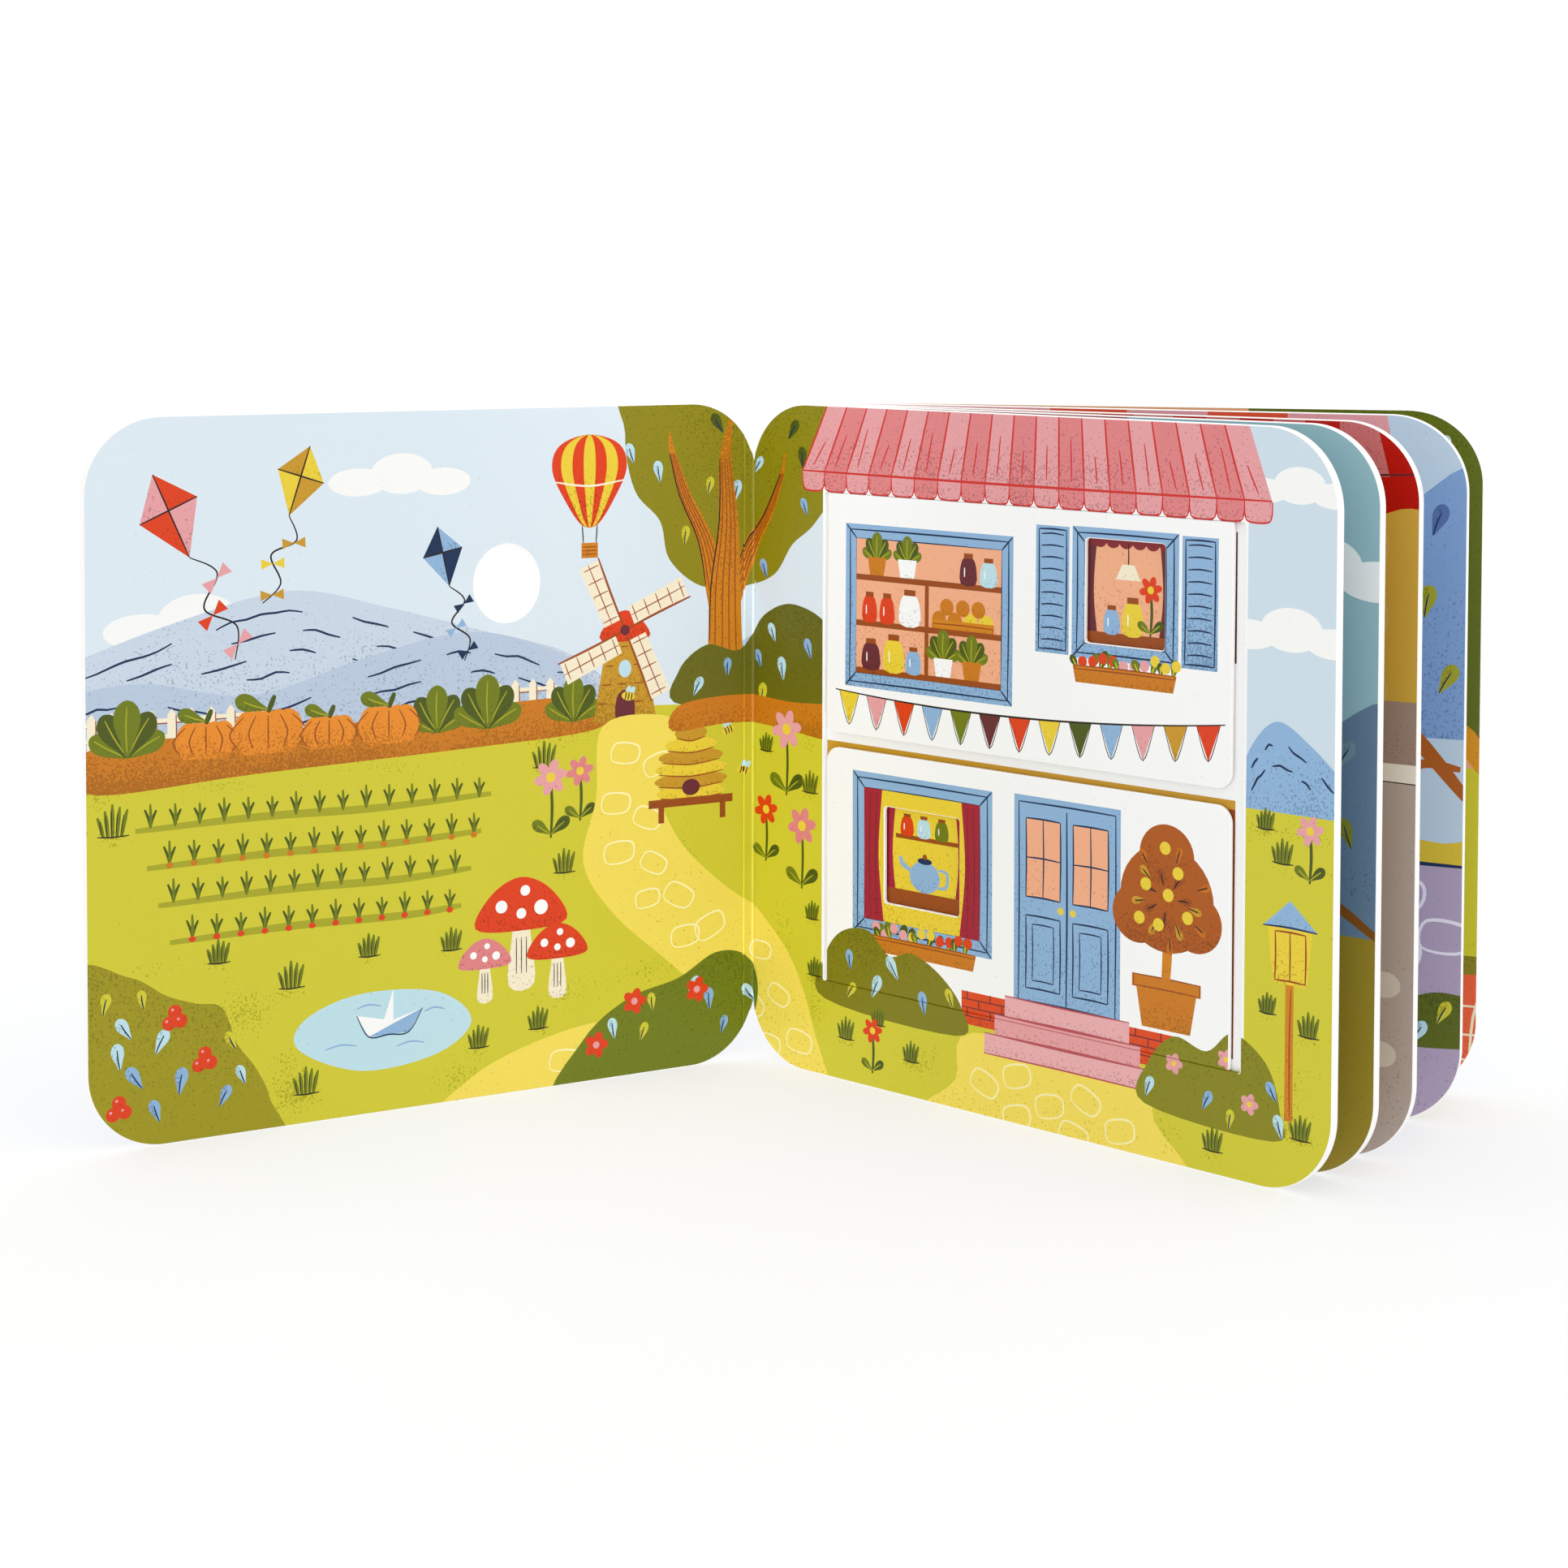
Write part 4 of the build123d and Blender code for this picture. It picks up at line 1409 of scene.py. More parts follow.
# %% Lower flap: hatch and double door
window_frame(spread, 38.5, 43, 88.5, 88.5, 4.4)
spread.paint(box_loop(42.9, 47.4, 84.1, 84.1), YELLOW, (0.4, 0.1))
for hung, free in ((42.9, 49.4), (84.1, 77.8)):
    curtain(spread, hung, free, 47.4, 84.1, CURTAIN)
flower_box(spread, 44, 83, 38.6, 15)
spread.paint(box_loop(96, 33, 131, 89), BLUE, (0.5, 0.1))
ruled(spread, 97.6, 34, 129.4, 87.2)
spread.line([(113.5, 33.5), (113.7, 60), (113.5, 86)], 0.6, NAVY)
for x0 in (100, 115.6):
    spread.paint(box_loop(x0, 62, x0 + 11.4, 83), PEACH, (0.3, 0.05))
    ruled(spread, x0, 62, x0 + 11.4, 83)
    spread.line([(x0 + 5.7, 62), (x0 + 5.9, 72), (x0 + 5.7, 83)], 0.45, NAVY)
    spread.line([(x0, 72.5), (x0 + 5.7, 72.7), (x0 + 11.4, 72.5)], 0.45, NAVY)
    ruled(spread, x0, 37.5, x0 + 11.4, 57)
    ruled(spread, x0 + 2.2, 39.7, x0 + 9.2, 54.8, NAVY, 0.4)
for x in (111.6, 115.6):
    spread.paint(oval(x, 59.6, 1.0, steps=12), YELLOW)
print("hatch and door", len(spread.shapes))

# %% Lower flap: potted tree
CROWN_INK, CROWN_LEAF = "B0602A", "C8742E"
spread.paint([(138, 34), (153, 34), (155, 45), (136, 45)], SOIL, (0.6, 0.1))
spread.paint(box_loop(134.8, 44, 156.2, 47.4), SOIL, (0.3, 0.0))
ruled(spread, 135.2, 44.3, 155.8, 47.2, BROWN, 0.4)
spread.paint(stroke([(145.4, 47), (145.8, 54), (145.5, 60)], 3.0, 4, 0.8), BARK, (0.4, 0.1))
for x, y, r in ((145.5, 68, 14.5), (136.5, 63, 8.0), (154.5, 63, 8.0), (145.5, 79, 8.5)):
    spread.paint(oval(x, y, r, r * 0.96, 36), CROWN_INK, (0.6, 0.05))
for k in range(16):
    turn = 137.5 * k
    x, y = turned([(3.4 + (k % 3) * 3.3, 0)], 145.5, 68, turn)[0]
    leaf(spread, x, y, 4.4, turn, (BROWN, OCHRE, CROWN_LEAF)[k % 3], INK)
for x, y in ((139, 71), (149, 75), (152, 64), (143, 61), (146, 69), (137, 62), (145, 81)):
    spread.paint(oval(x, y, 1.7, steps=14), YELLOW, (0.4, 0.0))
print("lower flap", len(spread.shapes))

# %% Brick footing, path and steps
BRICK, STEP, STEP_LINE = "DE5430", "E9B0B2", "B9585F"
spread.paint([(78, 24), (150, 24), (150, 33), (78, 33)], BRICK, (0.5, 0.1))
for row, level in enumerate((26.3, 28.6, 30.9)):
    spread.line([(78, level), (114, level + 0.1), (150, level)], 0.4, MAROON)
    for k in range(9):
        x = 80 + 8 * k + 4 * (row % 2)
        spread.line([(x, level), (x, level + 2.2)], 0.4, MAROON)
shop_path = [(82, 22), (136, 22), (142, 10), (150, -6), (66, -6), (76, 8)]
spread.paint(smooth(shop_path, 5), PATH, (0.35, 0.02))
for x, y in ((86, 9), (97, 13), (108, 7), (120, 11), (131, 5), (97, 2), (116, 1)):
    outline_stone(spread, x, y, x * 7 % 40 - 20, 4)
for k, (x0, x1, y0) in enumerate(((93, 134, 28.4), (89.5, 137.5, 22.8), (86, 141, 17.2))):
    middle = (x0 + x1) / 2
    spread.paint(box_loop(x0, y0, x1, y0 + 5.6), (STEP, PINK, STEP)[k], (0.45, 0.1))
    spread.line([(x0, y0 + 5.6), (middle, y0 + 5.4), (x1, y0 + 5.6)], 0.45, STEP_LINE)
    spread.line([(x0, y0), (middle, y0 + 0.2), (x1, y0)], 0.45, STEP_LINE)
print("footing and steps", len(spread.shapes))

# %% Hedges, nest box and the right margin
LEFT_HEDGE, RIGHT_HEDGE = "85812A", "8B892A"
bush(spread, [(28, 22), (28, 34), (34, 42), (44, 44), (52, 38), (60, 40), (70, 36), (78, 28),
              (76, 20)], LEFT_HEDGE, 6, 41)
blossoms = ((148, 26), (164, 30), (171, 20))
bush(spread, [(139, 14), (140, 25), (148, 33), (158, 31), (166, 37), (176, 31), (180, 20),
              (178, 12)], RIGHT_HEDGE, 5, 52, clear=blossoms)
for x, y in blossoms:
    blossom(spread, x, y, 1.4, PINK, YELLOW)
spread.paint(box_loop(181.3, 18, 183.7, 52), BARK, (0.5, 0.1))
spread.line([(182.8, 19), (182.6, 36), (182.9, 51)], 0.45, BROWN)
spread.paint([(177.5, 52), (187.5, 52), (189, 66), (176, 66)], YELLOW, (0.5, 0.1))
ruled(spread, 178.2, 52.8, 187, 65, BROWN, 0.5)
spread.line([(182.5, 53), (182.6, 59), (182.5, 65)], 0.45, BROWN)
spread.paint([(174.6, 66), (190.4, 66), (182.5, 73)], BLUE, (0.4, 0.1))
spread.line([(174.6, 66), (182.5, 66.3), (190.4, 66)], 0.5, NAVY)
for x, y, size in ((180, 82, 6), (188, 40, 6), (176, 44, 5), (186, 14, 6), (36, 12, 6), (60, 10, 5.5),
                   (48, 18, 5), (160, 6, 6), (175, 90, 5), (24, 28, 5)):
    tuft(spread, x, y, size)
for x, y, height, ink in ((188, 78, 13, PINK), (46, 4, 12, RED)):
    flower(spread, x, y, height, ink)
print("right page", len(spread.shapes))

# %% The room behind the upper flap
VALANCE = "8C3A3F"
pocket_floor = Picture(PAPER)
pocket_floor.paint(box_loop(26, 90, 165.1, 95.5), OCHRE, (0.3, 0.1))
# Painted shade, partly print: the brown and maroon strips on the floor beside the flaps' right-hand
# edges are dark lines in the rooms' colours, where each flap shades its slot. Their spray is thickest
# low down.
pocket_floor.paint(box_loop(163.0, 30, 165.1, 93.2), BROWN, (0.9, 0.3))
pocket_floor.paint(box_loop(163.0, 130, 165.05, 163), MAROON, (0.9, 0.3))
pocket_floor.paint(box_loop(112, 128, 150, 162), PEACH, (0.35, 0.1))
for hung, free in ((112, 121.8), (150, 141.2)):
    curtain(pocket_floor, hung, free, 129, 161, MAROON)
for k in range(9):
    pocket_floor.paint(oval(114 + 4.2 * k, 158.4, 2.3, 2.0, 16), VALANCE, (0.3, 0))
pocket_floor.paint(box_loop(118, 130, 145, 134.4), BROWN, (0.5, 0.1))
jar(pocket_floor, 124, 134.4, 4.6, 6.4, BLUE)
jar(pocket_floor, 130, 134.4, 6.0, 8.6, YELLOW)
flower(pocket_floor, 138.6, 134.4, 12, RED)
pocket_floor.line([(131.5, 158), (131.6, 154), (131.5, 152)], 0.4, INK)
pocket_floor.paint([(127.5, 148.4), (135.5, 148.4), (133.4, 152.4), (129.6, 152.4)], CREAM, (0.3, 0))
print("upper room", len(pocket_floor.shapes))

# %% The room behind the lower flap
pocket_floor.paint(box_loop(44, 50, 84, 84), YELLOW, (0.45, 0.1))
for hung, free in ((44, 53.2), (84, 74.2)):
    curtain(pocket_floor, hung, free, 51, 83, CURTAIN)
pocket_floor.paint(box_loop(50, 50, 78, 57), BROWN, (0.5, 0.1))
pocket_floor.paint(box_loop(53, 71.2, 76, 72.4), BROWN)
for x, ink in ((55, RED), (61, BLUE_PALE), (67.4, BUSH)):
    jar(pocket_floor, x, 72.4, 4.2, 5.2, ink)
pocket_floor.paint(oval(63.5, 61.4, 5.4, 4.4, 28), BLUE, (0.5, 0.1))
pocket_floor.paint(oval(63.5, 65.8, 2.6, 0.9, 18), NAVY)
pocket_floor.paint(oval(63.5, 67.0, 0.8, steps=12), BROWN)
pocket_floor.line([(58.6, 62.6), (55.6, 64.2), (54.6, 66.2)], 1.5, BLUE)
pocket_floor.paint(stroke([(68.4, 64), (71.4, 63.4), (71.2, 59.8), (68.2, 59)], 1.0), BLUE)
print("both rooms", len(pocket_floor.shapes))

# %% [markdown]
# Every leaf is printed all over, but only a narrow strip of each one behind shows at its
# fore edge. So these pictures are worked out near the fore edge, in the duller tones of the
# strips, and stay simple further in: sky, hills, a tree, a path.

# %% Front of the second leaf
page = Picture("9EC2C9")
leaf_fronts = {2: page}
cloud(page, 178, 152, 34)
hills = smooth([(120, 60), (120, 112), (150, 121), (176, 112), (200, 119), (204, 60)], 6)
page.paint(hills, "6F88A0", (0.4, 0.05))
page.paint(box_loop(-BLEED, -BLEED, 204, 62), "A38E3A", (0.3, 0.05))
for x, y, turn in ((172, 96, 80), (184, 104, 60), (188, 84, 110), (178, 74, 75)):
    leaf(page, x, y, 8, turn, ("7E9BA5", "8E9038")[turn > 90])
page.line([(150, 66), (172, 74), (196, 62)], 3.0, "8A5A2C")
page.paint(box_loop(-BLEED, 184, 122, 199), "B5666C")
print("second leaf", len(page.shapes))

# %% Front of the third leaf
page = leaf_fronts[3] = Picture("D3B053")
TREE_RED = "BE2A20"
treetop = smooth([(140, 199), (150, 174), (170, 162), (190, 168), (204, 170), (204, 199)], 6)
page.paint(treetop, TREE_RED, (0.3, 0.1))
page.paint([(-BLEED, 176), (187, 176), (183, 191), (183, 199), (-BLEED, 199)], "CF7C82", (0.4, 0.1))
for start in (105.5, 126.5, 145.5, 163.8):
    page.paint(box_loop(start, 185, start + 9.5, 199), TREE_RED)
page.line([(140, 177), (170, 176), (196, 177)], 0.7, MAROON)
for y in (158, 140, 121):
    outline_stone(page, 178, y, 0, 7, 0.6, "D3B968")
page.paint(box_loop(-BLEED, -BLEED, 204, 119), "BBAFAB", (0.3, 0.05))
page.paint(box_loop(-BLEED, 101, 204, 119), "A49188", (0.3, 0.1))
page.paint(box_loop(-BLEED, 98, 204, 103), "F1EEE8")
page.line([(160, 98), (180, 98.3), (200, 98)], 0.35, INK)
for x, y in ((178, 38), (186, 28), (176, 26), (187, 46)):
    page.paint(oval(x, y, 4.4, 3.4, 20), "D8D3CC", (0.2, 0.0))
print("third leaf", len(page.shapes))

# %% Front of the fourth leaf
page = leaf_fronts[4] = Picture("C3D7E6")
BRANCH = "B5642C"
treetop = [(120, 102), (120, 150), (150, 168), (176, 165), (196, 176), (204, 150), (204, 100)]
page.paint(smooth(treetop, 6), "86A6D2", (0.5, 0.2))
page.paint(box_loop(-BLEED, 78, 204, 104), "C5D8E4")
page.paint([(-BLEED, 165), (178, 165), (173.4, 191), (173.4, 199), (-BLEED, 199)], PINK, (0.4, 0.1))
for start in (80.1, 124.8):
    page.paint(box_loop(start, 183, start + 22, 199), "E2583C")
for x, y, turn, ink in ((176, 150, 100, BUSH_DEEP), (184, 136, 80, LIME_DARK),
                        (178, 124, 120, BLUE_PALE), (188, 116, 60, LIME_DARK),
                        (186, 158, 70, "5E76A8")):
    leaf(page, x, y, 9, turn, ink)
page.line([(172, 112), (182, 104), (196, 88)], 4.2, BRANCH)
page.line([(178, 92), (184, 97), (194, 96)], 2.4, BRANCH)
field = smooth([(120, 60), (120, 76), (160, 80), (190, 76), (204, 80), (204, 60)], 5)
page.paint(field, "DFC243", (0.3, 0.05))
page.paint(box_loop(-BLEED, -BLEED, 204, 70), "B6A5BE", (0.4, 0.05))
page.line([(120, 70), (160, 70.6), (196, 70)], 1.2, NAVY)
for x, y in ((178, 62), (190, 51), (177, 46)):
    outline_stone(page, x, y, 0, 5.6, 1.0, "ECE7F2")
bush(page, [(150, 22), (160, 36), (176, 33), (190, 36), (204, 32), (204, 22)], "656E20", 6, 71)
print("fourth leaf", len(page.shapes))

# %% [markdown]
# The inside of the back cover shows a strip at its fore edge, and all of it when the cover
# is opened, so it has a whole picture: a garden with a picnic blanket. The backs of the
# leaves and the outsides of the covers can't be seen in the photograph. They are made as
# plain printed colours with a border of dots, which such books often have.

# %% Inside of the back cover
BACK_INSIDE_INK = "69741F"
back_inside = Picture(PEACH, (0.25, 0.0))
for x, y, size in ((34, 160, 26), (84, 146, 22), (62, 176, 18)):
    cloud(back_inside, x, y, size)
back_ridge = [(-10, 104), (16, 116), (48, 122), (84, 112), (120, 98), (150, 86)]
hill(back_inside, back_ridge, 84, "C9A0A8", 3, 91)
lawn = smooth([(-BLEED, 88), (40, 94), (90, 88), (140, 92), (204, 91)], 6, closed=False)
back_inside.paint(lawn + [(204, -BLEED), (-BLEED, -BLEED)], "D7CF40", (0.2, 0.1))
leaning = [(226, 76, 22), (206, 90, 17), (194, 103, 14), (184, 124, 10), (176, 148, 4)]
back_inside.paint(limb(leaning, 6), "E49B31", (0.3, 0.1))
for off in (-3, 0, 3):
    back_inside.line([(204, 91.5 + off), (195, 102 + off * 0.8), (188, 113 + off * 0.5)],
                     0.5, BROWN)
bush(back_inside, [(204, 104), (186, 106), (168, 100), (152, 108), (140, 124), (128, 134),
                   (131, 152), (124, 166), (133, 180), (134, 204), (204, 204)],
     BACK_INSIDE_INK, 22, 81)
bush(back_inside, [(158, 30), (164, 37), (176, 35), (186, 39), (204, 37), (204, 24), (164, 24)],
     OLIVE, 5, 82)
back_inside.paint([(118, 10), (204, 4), (204, 34), (140, 34)], "F0694A", (0.4, 0.1))
for k in range(1, 6):
    back_inside.line([(118 + 15 * k, 10 - k), (129 + 13 * k, 22), (138 + 12 * k, 34)], 0.8, CREAM)
for level in (12, 19, 27):
    back_inside.line([(119 + level * 0.8, level), (160, level - 1), (200, level - 2)], 0.8, CREAM)
for x, y, size in ((22, 70, 8), (58, 44, 8), (96, 66, 7), (30, 22, 7), (84, 18, 8), (130, 56, 7)):
    tuft(back_inside, x, y, size)
for x, y, height, ink in ((40, 60, 18, PINK), (48, 54, 14, RED), (108, 34, 16, PINK_DEEP)):
    flower(back_inside, x, y, height, ink)
print("inside of the back cover", len(back_inside.shapes))

# %% Plain sides
BORDER_DOTS, DOT = 20, 1.6    # dots along each side of the border, and their radius in mm
BORDER_IN, BORDER_FOLD = 12.0, 24.0


def plain_side(ink, dots):
    """A side in one colour. Its border of dots is drawn for either side of the fold."""
    side = Picture(ink)
    left, right = BORDER_FOLD, PAGE_W - BORDER_IN
    low, high = BORDER_IN, PAGE_H - BORDER_IN
    for k in range(BORDER_DOTS):
        t = k / (BORDER_DOTS - 1)
        spots = [(left + (right - left) * t, low), (left + (right - left) * t, high)]
        if 0 < k < BORDER_DOTS - 1:
            spots += [(x, low + (high - low) * t) for x in (left, right)]
        for x, y in spots:
            side.paint(oval(x, y, DOT, steps=14), dots)
            side.paint(oval(-x, y, DOT, steps=14), dots)
    return side


cover_outside = plain_side("8FBFE0", PAPER)
LAST_LEAF_INK = "B9C95A"
leaf_backs = [plain_side("CFE2EC", PAPER), plain_side("D9B860", CREAM),
              plain_side("C9D6EA", PAPER), plain_side(LAST_LEAF_INK, CREAM)]
print("a plain side has", len(cover_outside.shapes), "shapes")

# %% [markdown]
# The front cover is a board lined with the left half of the spread. On the real book the
# cover paper and the lining are glued on and die-cut with the board, so one closed shell
# with two prints gives its shape, and its white edge is the same cut board as the leaves'.

# %% Front cover
peep_x, peep_y, peep_rx, peep_ry = PEEP_HOLE
cover_hole = [oval(peep_x, peep_y, peep_rx + EDGE, peep_ry + EDGE, 56)]
front_cover = build_board("front_cover_board", spread, mirrored(page_outline(COVER_START)),
                          cover_hole, cover_outside, BOARD, front_stand.point)
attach(front_cover, "front_cover")
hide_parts("front_cover")
print("front cover faces", len(front_cover.data.polygons))

# %% [markdown]
# The first leaf is two plies glued face to face. The front ply is slotted round two flaps,
# which leaves a pocket one ply deep with a printed floor. Each flap is a thin board of its
# own: it hangs on its scored edge, where the print runs on, and its free edge lifts a
# little, because such a score springs back. The lift makes the fine shadow in the slot.

# %% First leaf with its pocket
LEAF_ONE_START = 0.45
POCKET_ROUND = 0.6
pocket = [card_loop(*POCKET, (POCKET_ROUND,) * 4, -EDGE)]
leaf_one = build_board("leaf_1", spread, page_outline(LEAF_ONE_START), pocket, leaf_backs[0],
                       BOARD, leaf_stands[0].point, floors={0: (FACE + PLY, pocket_floor)})
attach(leaf_one, "pages")
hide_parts("page_block")
print("leaf_1 faces", len(leaf_one.data.polygons))

# %% The two flaps
FLAP_LIFT = 0.3
FLAP_THICK = PLY - 0.1
FLAP_BACK = Picture("FFFFFF")
HINGE_ROUND, WINDOW_ROUND = 0.3, 0.9


def build_flap(name, hinge_y, free_y, window):
    """A flap hinged at one height, its free edge a little out of the page."""
    low, high = sorted((hinge_y, free_y))
    rounds = (HINGE_ROUND, HINGE_ROUND, FLAP_ROUND, FLAP_ROUND)
    if free_y < hinge_y:
        rounds = rounds[::-1]
    outline = card_loop(FLAP_X[0], low, FLAP_X[1], high, rounds)
    hole = card_loop(*window, (WINDOW_ROUND,) * 4, -EDGE)

    def place(x, y, depth):
        lift = FLAP_LIFT * (y - hinge_y) / (free_y - hinge_y)
        return leaf_stands[0].point(x, y, depth - lift)

    flap = build_board(name, spread, outline, [hole], FLAP_BACK, FLAP_THICK, place)
    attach(flap, "pages")
    print(name, "faces", len(flap.data.polygons))


build_flap("upper_flap", POCKET[3] - SCORE, FLAP_GAP[1], UPPER_WINDOW)
build_flap("lower_flap", POCKET[1] + SCORE, FLAP_GAP[0], LOWER_WINDOW)

# %% [markdown]
# The leaves behind are plain boards. Their folds are glued in a row, so each is trimmed at a
# slant there, and the ends of all three lie in one plane, which the spine's paper covers.
# Only the few millimetres next to the fold are moved, so the rest stays as the die cut it.

# %% The leaves behind
TRIM_REACH = 4                # mm from the fold over which the slant fades out


def leaf_place(stand, lean):
    """Places a leaf whose fold edge is trimmed along the glued line of folds."""
    turn = math.radians(lean + FOLD_LINE)

    def place(x, y, depth):
        trimmed = (depth * math.cos(turn) - FOLD_DEPTH) / math.sin(turn)
        return stand.point(x + trimmed * max(0.0, 1 - x / TRIM_REACH), y, depth)

    return place


for number in (2, 3, 4):
    stand, lean = leaf_stands[number - 1], LEAF_LEANS[number - 1]
    board = build_board(f"leaf_{number}", leaf_fronts[number], page_outline(0.0), [],
                        leaf_backs[number - 1], BOARD, leaf_place(stand, lean))
    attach(board, "pages")
    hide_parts("page_block")
    print(board.name, "faces", len(board.data.polygons))

# %% [markdown]
# The back cover is made as the front one is, without a window. It stands on its own hinge
# line behind the last leaf, so it rides with its own body.

# %% Back cover
back_cover = build_board("back_cover_board", back_inside, page_outline(COVER_START), [],
                         cover_outside, BOARD, back_stand.point)
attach(back_cover, "back_cover")
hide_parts("back_cover")
print("back cover faces", len(back_cover.data.polygons))

# %% [markdown]
# The printed sheet runs on from the cover to the first leaf, and only the sheet bends when
# the book opens. So the strip over the gutter is a piece of its own, laid along both boards
# as they stand: a valley fold. Along its fold, and along the score line where the cover's
# board begins, its inks are lightened: a painted highlight, where the film catches the light.

# %% The way over the gutter
HALF_OPEN = (180 - COVER_LEAN - LEAF_LEANS[0]) / 2
BISECTOR = 90 + (COVER_LEAN - LEAF_LEANS[0]) / 2
FOLD_FROM, FOLD_TO = -0.9, 0.3    # the curved part, in millimetres along the spread


def gutter_place(x, y, depth):
    """Lays the strip along the cover, round the fold and on to the first leaf."""
    if x <= FOLD_FROM:
        return front_stand.point(x, y, depth)
    if x >= FOLD_TO:
        return leaf_stands[0].point(x, y, depth)
    t = (x - FOLD_FROM) / (FOLD_TO - FOLD_FROM)
    corner = gutter + plan(BISECTOR, depth / math.sin(math.radians(HALF_OPEN)))
    corner = Vector((corner.x * MM, corner.y * MM, y * MM))
    start = front_stand.point(FOLD_FROM, y, depth)
    end = leaf_stands[0].point(FOLD_TO, y, depth)
    return start * (1 - t) ** 2 + corner * 2 * t * (1 - t) + end * t ** 2


def strip_outline(x0, x1, steps):
    """The outline of a strip that crosses a fold, with its ends cut by the corner arcs."""
    xs = [x0 + EDGE + (x1 - x0 - 2 * EDGE) * i / steps for i in range(steps + 1)]
    return [(x, notch(x)) for x in xs] + [(x, PAGE_H - notch(x)) for x in xs[::-1]]


print("half open angle", round(HALF_OPEN, 2))

# %% Gutter fold
GUTTER_THICK = 0.5
# Painted highlights: two thin lines of lighter ink, one at the fold and one at the score where the
# cover's board begins.
spread.painted_crease_highlights = [(-0.25, 0.13, 1.3), (-2.65, 0.14, 1.3)]
gutter_strip = build_board("gutter_fold", spread,
                           strip_outline(-COVER_START + 0.02, LEAF_ONE_START - 0.02, 16), [],
                           Picture("FFFFFF"), GUTTER_THICK, gutter_place,
                           columns=[FOLD_FROM + 0.1 * i for i in range(13)] + [-2.79, -2.51])
leaf_stands[0].point(FOLD_TO, 0, FACE)
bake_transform(gutter_strip)
print("gutter fold faces", len(gutter_strip.data.polygons))

# %% [markdown] Outside, the cover paper runs from board to board: over the spine, where
# it is glued to the ends of the leaves, and down into a joint groove at each side, where
# it is free and bends when a cover swings. A route seen from above gives each its shape.
# At their ends the strips follow the round corners, so nothing stands out past the
# boards.

# %% A strip of cover paper
WRAP_THICK = 0.22


def wrap_strip(name, route, lows, ink):
    """A strip of cover paper along a route seen from above, each point with its low end."""
    line = [Vector(p) for p in smooth(route, 5, closed=False)]
    ends = [p[1] for p in smooth([(i, low) for i, low in enumerate(lows)], 5, closed=False)]
    sides = []
    for i in range(len(line)):
        along = line[min(i + 1, len(line) - 1)] - line[max(i - 1, 0)]
        sides.append(Vector((-along.y, along.x)).normalized())
    outline = ([(float(i), ends[i]) for i in range(len(line))]
               + [(float(i), PAGE_H - ends[i]) for i in reversed(range(len(line)))])
    wide = sum((b - a).length for a, b in zip(line, line[1:]))
    print(name, "lies flat as", round(wide, 1), "by", round(PAGE_H - 2 * min(ends), 1), "mm")

    def place(x, y, depth):
        step = min(max(x, 0.0), len(line) - 1.0)
        first = min(int(step), len(line) - 2)
        t = step - first
        spot = line[first].lerp(line[first + 1], t)
        side = sides[first].lerp(sides[first + 1], t).normalized()
        spot = spot + side * (FACE + WRAP_THICK - depth)
        return Vector((spot.x * MM, spot.y * MM, y * MM))

    return build_board(name, Picture(ink), outline, [], Picture(ink), WRAP_THICK, place,
                       columns=[float(i) for i in range(1, len(line) - 1)])


print("cover paper is", WRAP_THICK, "mm thick")


# %% Routes of the cover paper
def spine_spot(along, out):
    """A spot at a distance along the line of folds, and out behind it."""
    return gutter + plan(FOLD_LINE, along) + plan(FOLD_LINE + 90, out)


def flat_spot(stand, x, depth):
    """A spot of a board seen from above, in millimetres."""
    return stand.fold + stand.along * x + stand.behind * depth


SPINE_INK = "3E6E9E"
SPINE_OUT = 1.02
spine_end = (back_fold - gutter).dot(plan(FOLD_LINE)) - 1.1
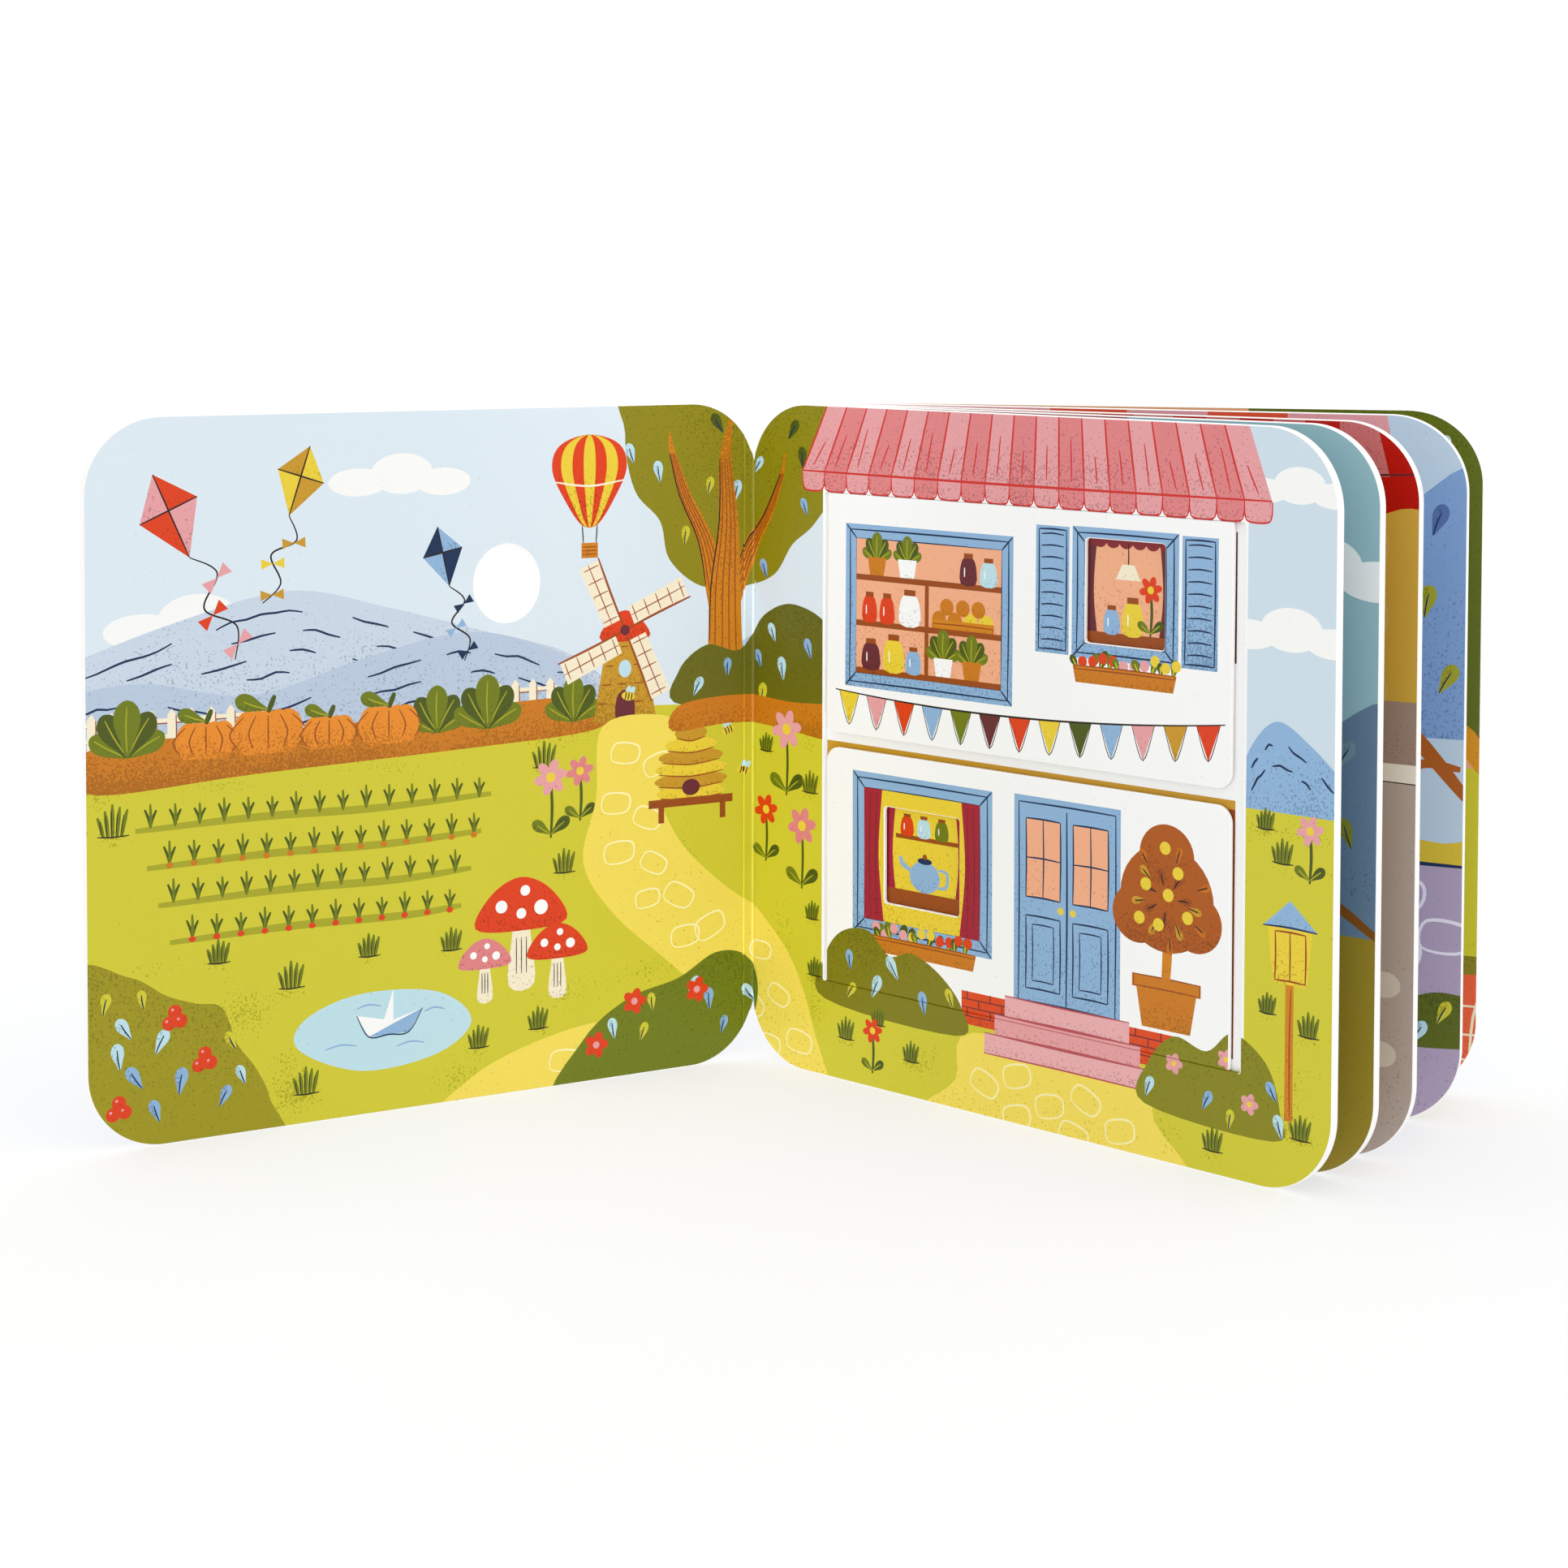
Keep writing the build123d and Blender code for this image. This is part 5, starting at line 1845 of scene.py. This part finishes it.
# the groove beside a board: the distance from its fold and the depth of the paper's inside
joint = ((3.12, 2.9), (2.85, 2.72), (2.6, 2.0), (2.2, 1.4), (1.5, 1.15))
front_route = [flat_spot(front_stand, -x, depth) for x, depth in joint]
front_route += [spine_spot(0.55, SPINE_OUT), spine_spot(1.2, SPINE_OUT + 0.02)]
back_route = [spine_spot(spine_end + past, SPINE_OUT + 0.02) for past in (-0.6, 0.1)]
back_route += [back_fold + plan(FOLD_LINE + turn, 0.75) for turn in (150, 110, 70, 35)]
back_route += [flat_spot(back_stand, x, depth) for x, depth in joint[::-1]]
front_lows = [notch(x, 0.0) + 0.9 for x, _ in joint] + [16.8, 17.2]
back_lows = [17.2, 17.0, 16.8, 16.6, 16.2, 15.6] + [notch(x, 0.0) + 0.9 for x, _ in joint[::-1]]
print("spine is", round(spine_end, 2), "mm wide")

# %% Spine paper
spine_route = [spine_spot(1.0 + (spine_end - 1.4) * i / 6, SPINE_OUT + 0.02) for i in range(7)]
spine_paper = wrap_strip("spine_paper", spine_route, [16.2] * 7, SPINE_INK)
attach(spine_paper, "pages")
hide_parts("spine")
print("spine paper faces", len(spine_paper.data.polygons))

# %% Papers over the two joints
front_joint = wrap_strip("front_joint_paper", front_route, front_lows, SPINE_INK)
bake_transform(front_joint)
back_joint = wrap_strip("back_joint_paper", back_route, back_lows, SPINE_INK)
back_stand.point(1.3, 0, 1.1)
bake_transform(back_joint)
print("joint papers", front_joint.name, back_joint.name)

# %% [markdown]
# Inside, the printed sheet of the last leaf runs on to the back cover, as the gutter's does
# at the front. Here the two boards stand close together, so the fold is tight and deep.

# %% Inner fold at the back cover
inner_route = [flat_spot(leaf_stands[3], x, FACE + BOARD) for x in (4.6, 3.4, 2.4)]
inner_route += [back_fold + plan(-18, 0.42)]
inner_route += [flat_spot(back_stand, x, FACE) for x in (1.2, 2.0, 2.95)]
inner_lows = [notch(x, 0.0) for x in (4.6, 3.4, 2.4, 1.0, 1.2, 2.0, 2.95)]
inner_fold = wrap_strip("back_gutter_fold", inner_route, inner_lows, LAST_LEAF_INK)
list(flat_spot(leaf_stands[3], 2.2, FACE + BOARD) * MM)
back_stand.point(1.4, 0, FACE)
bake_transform(inner_fold)
print("inner fold", len(inner_fold.data.polygons))
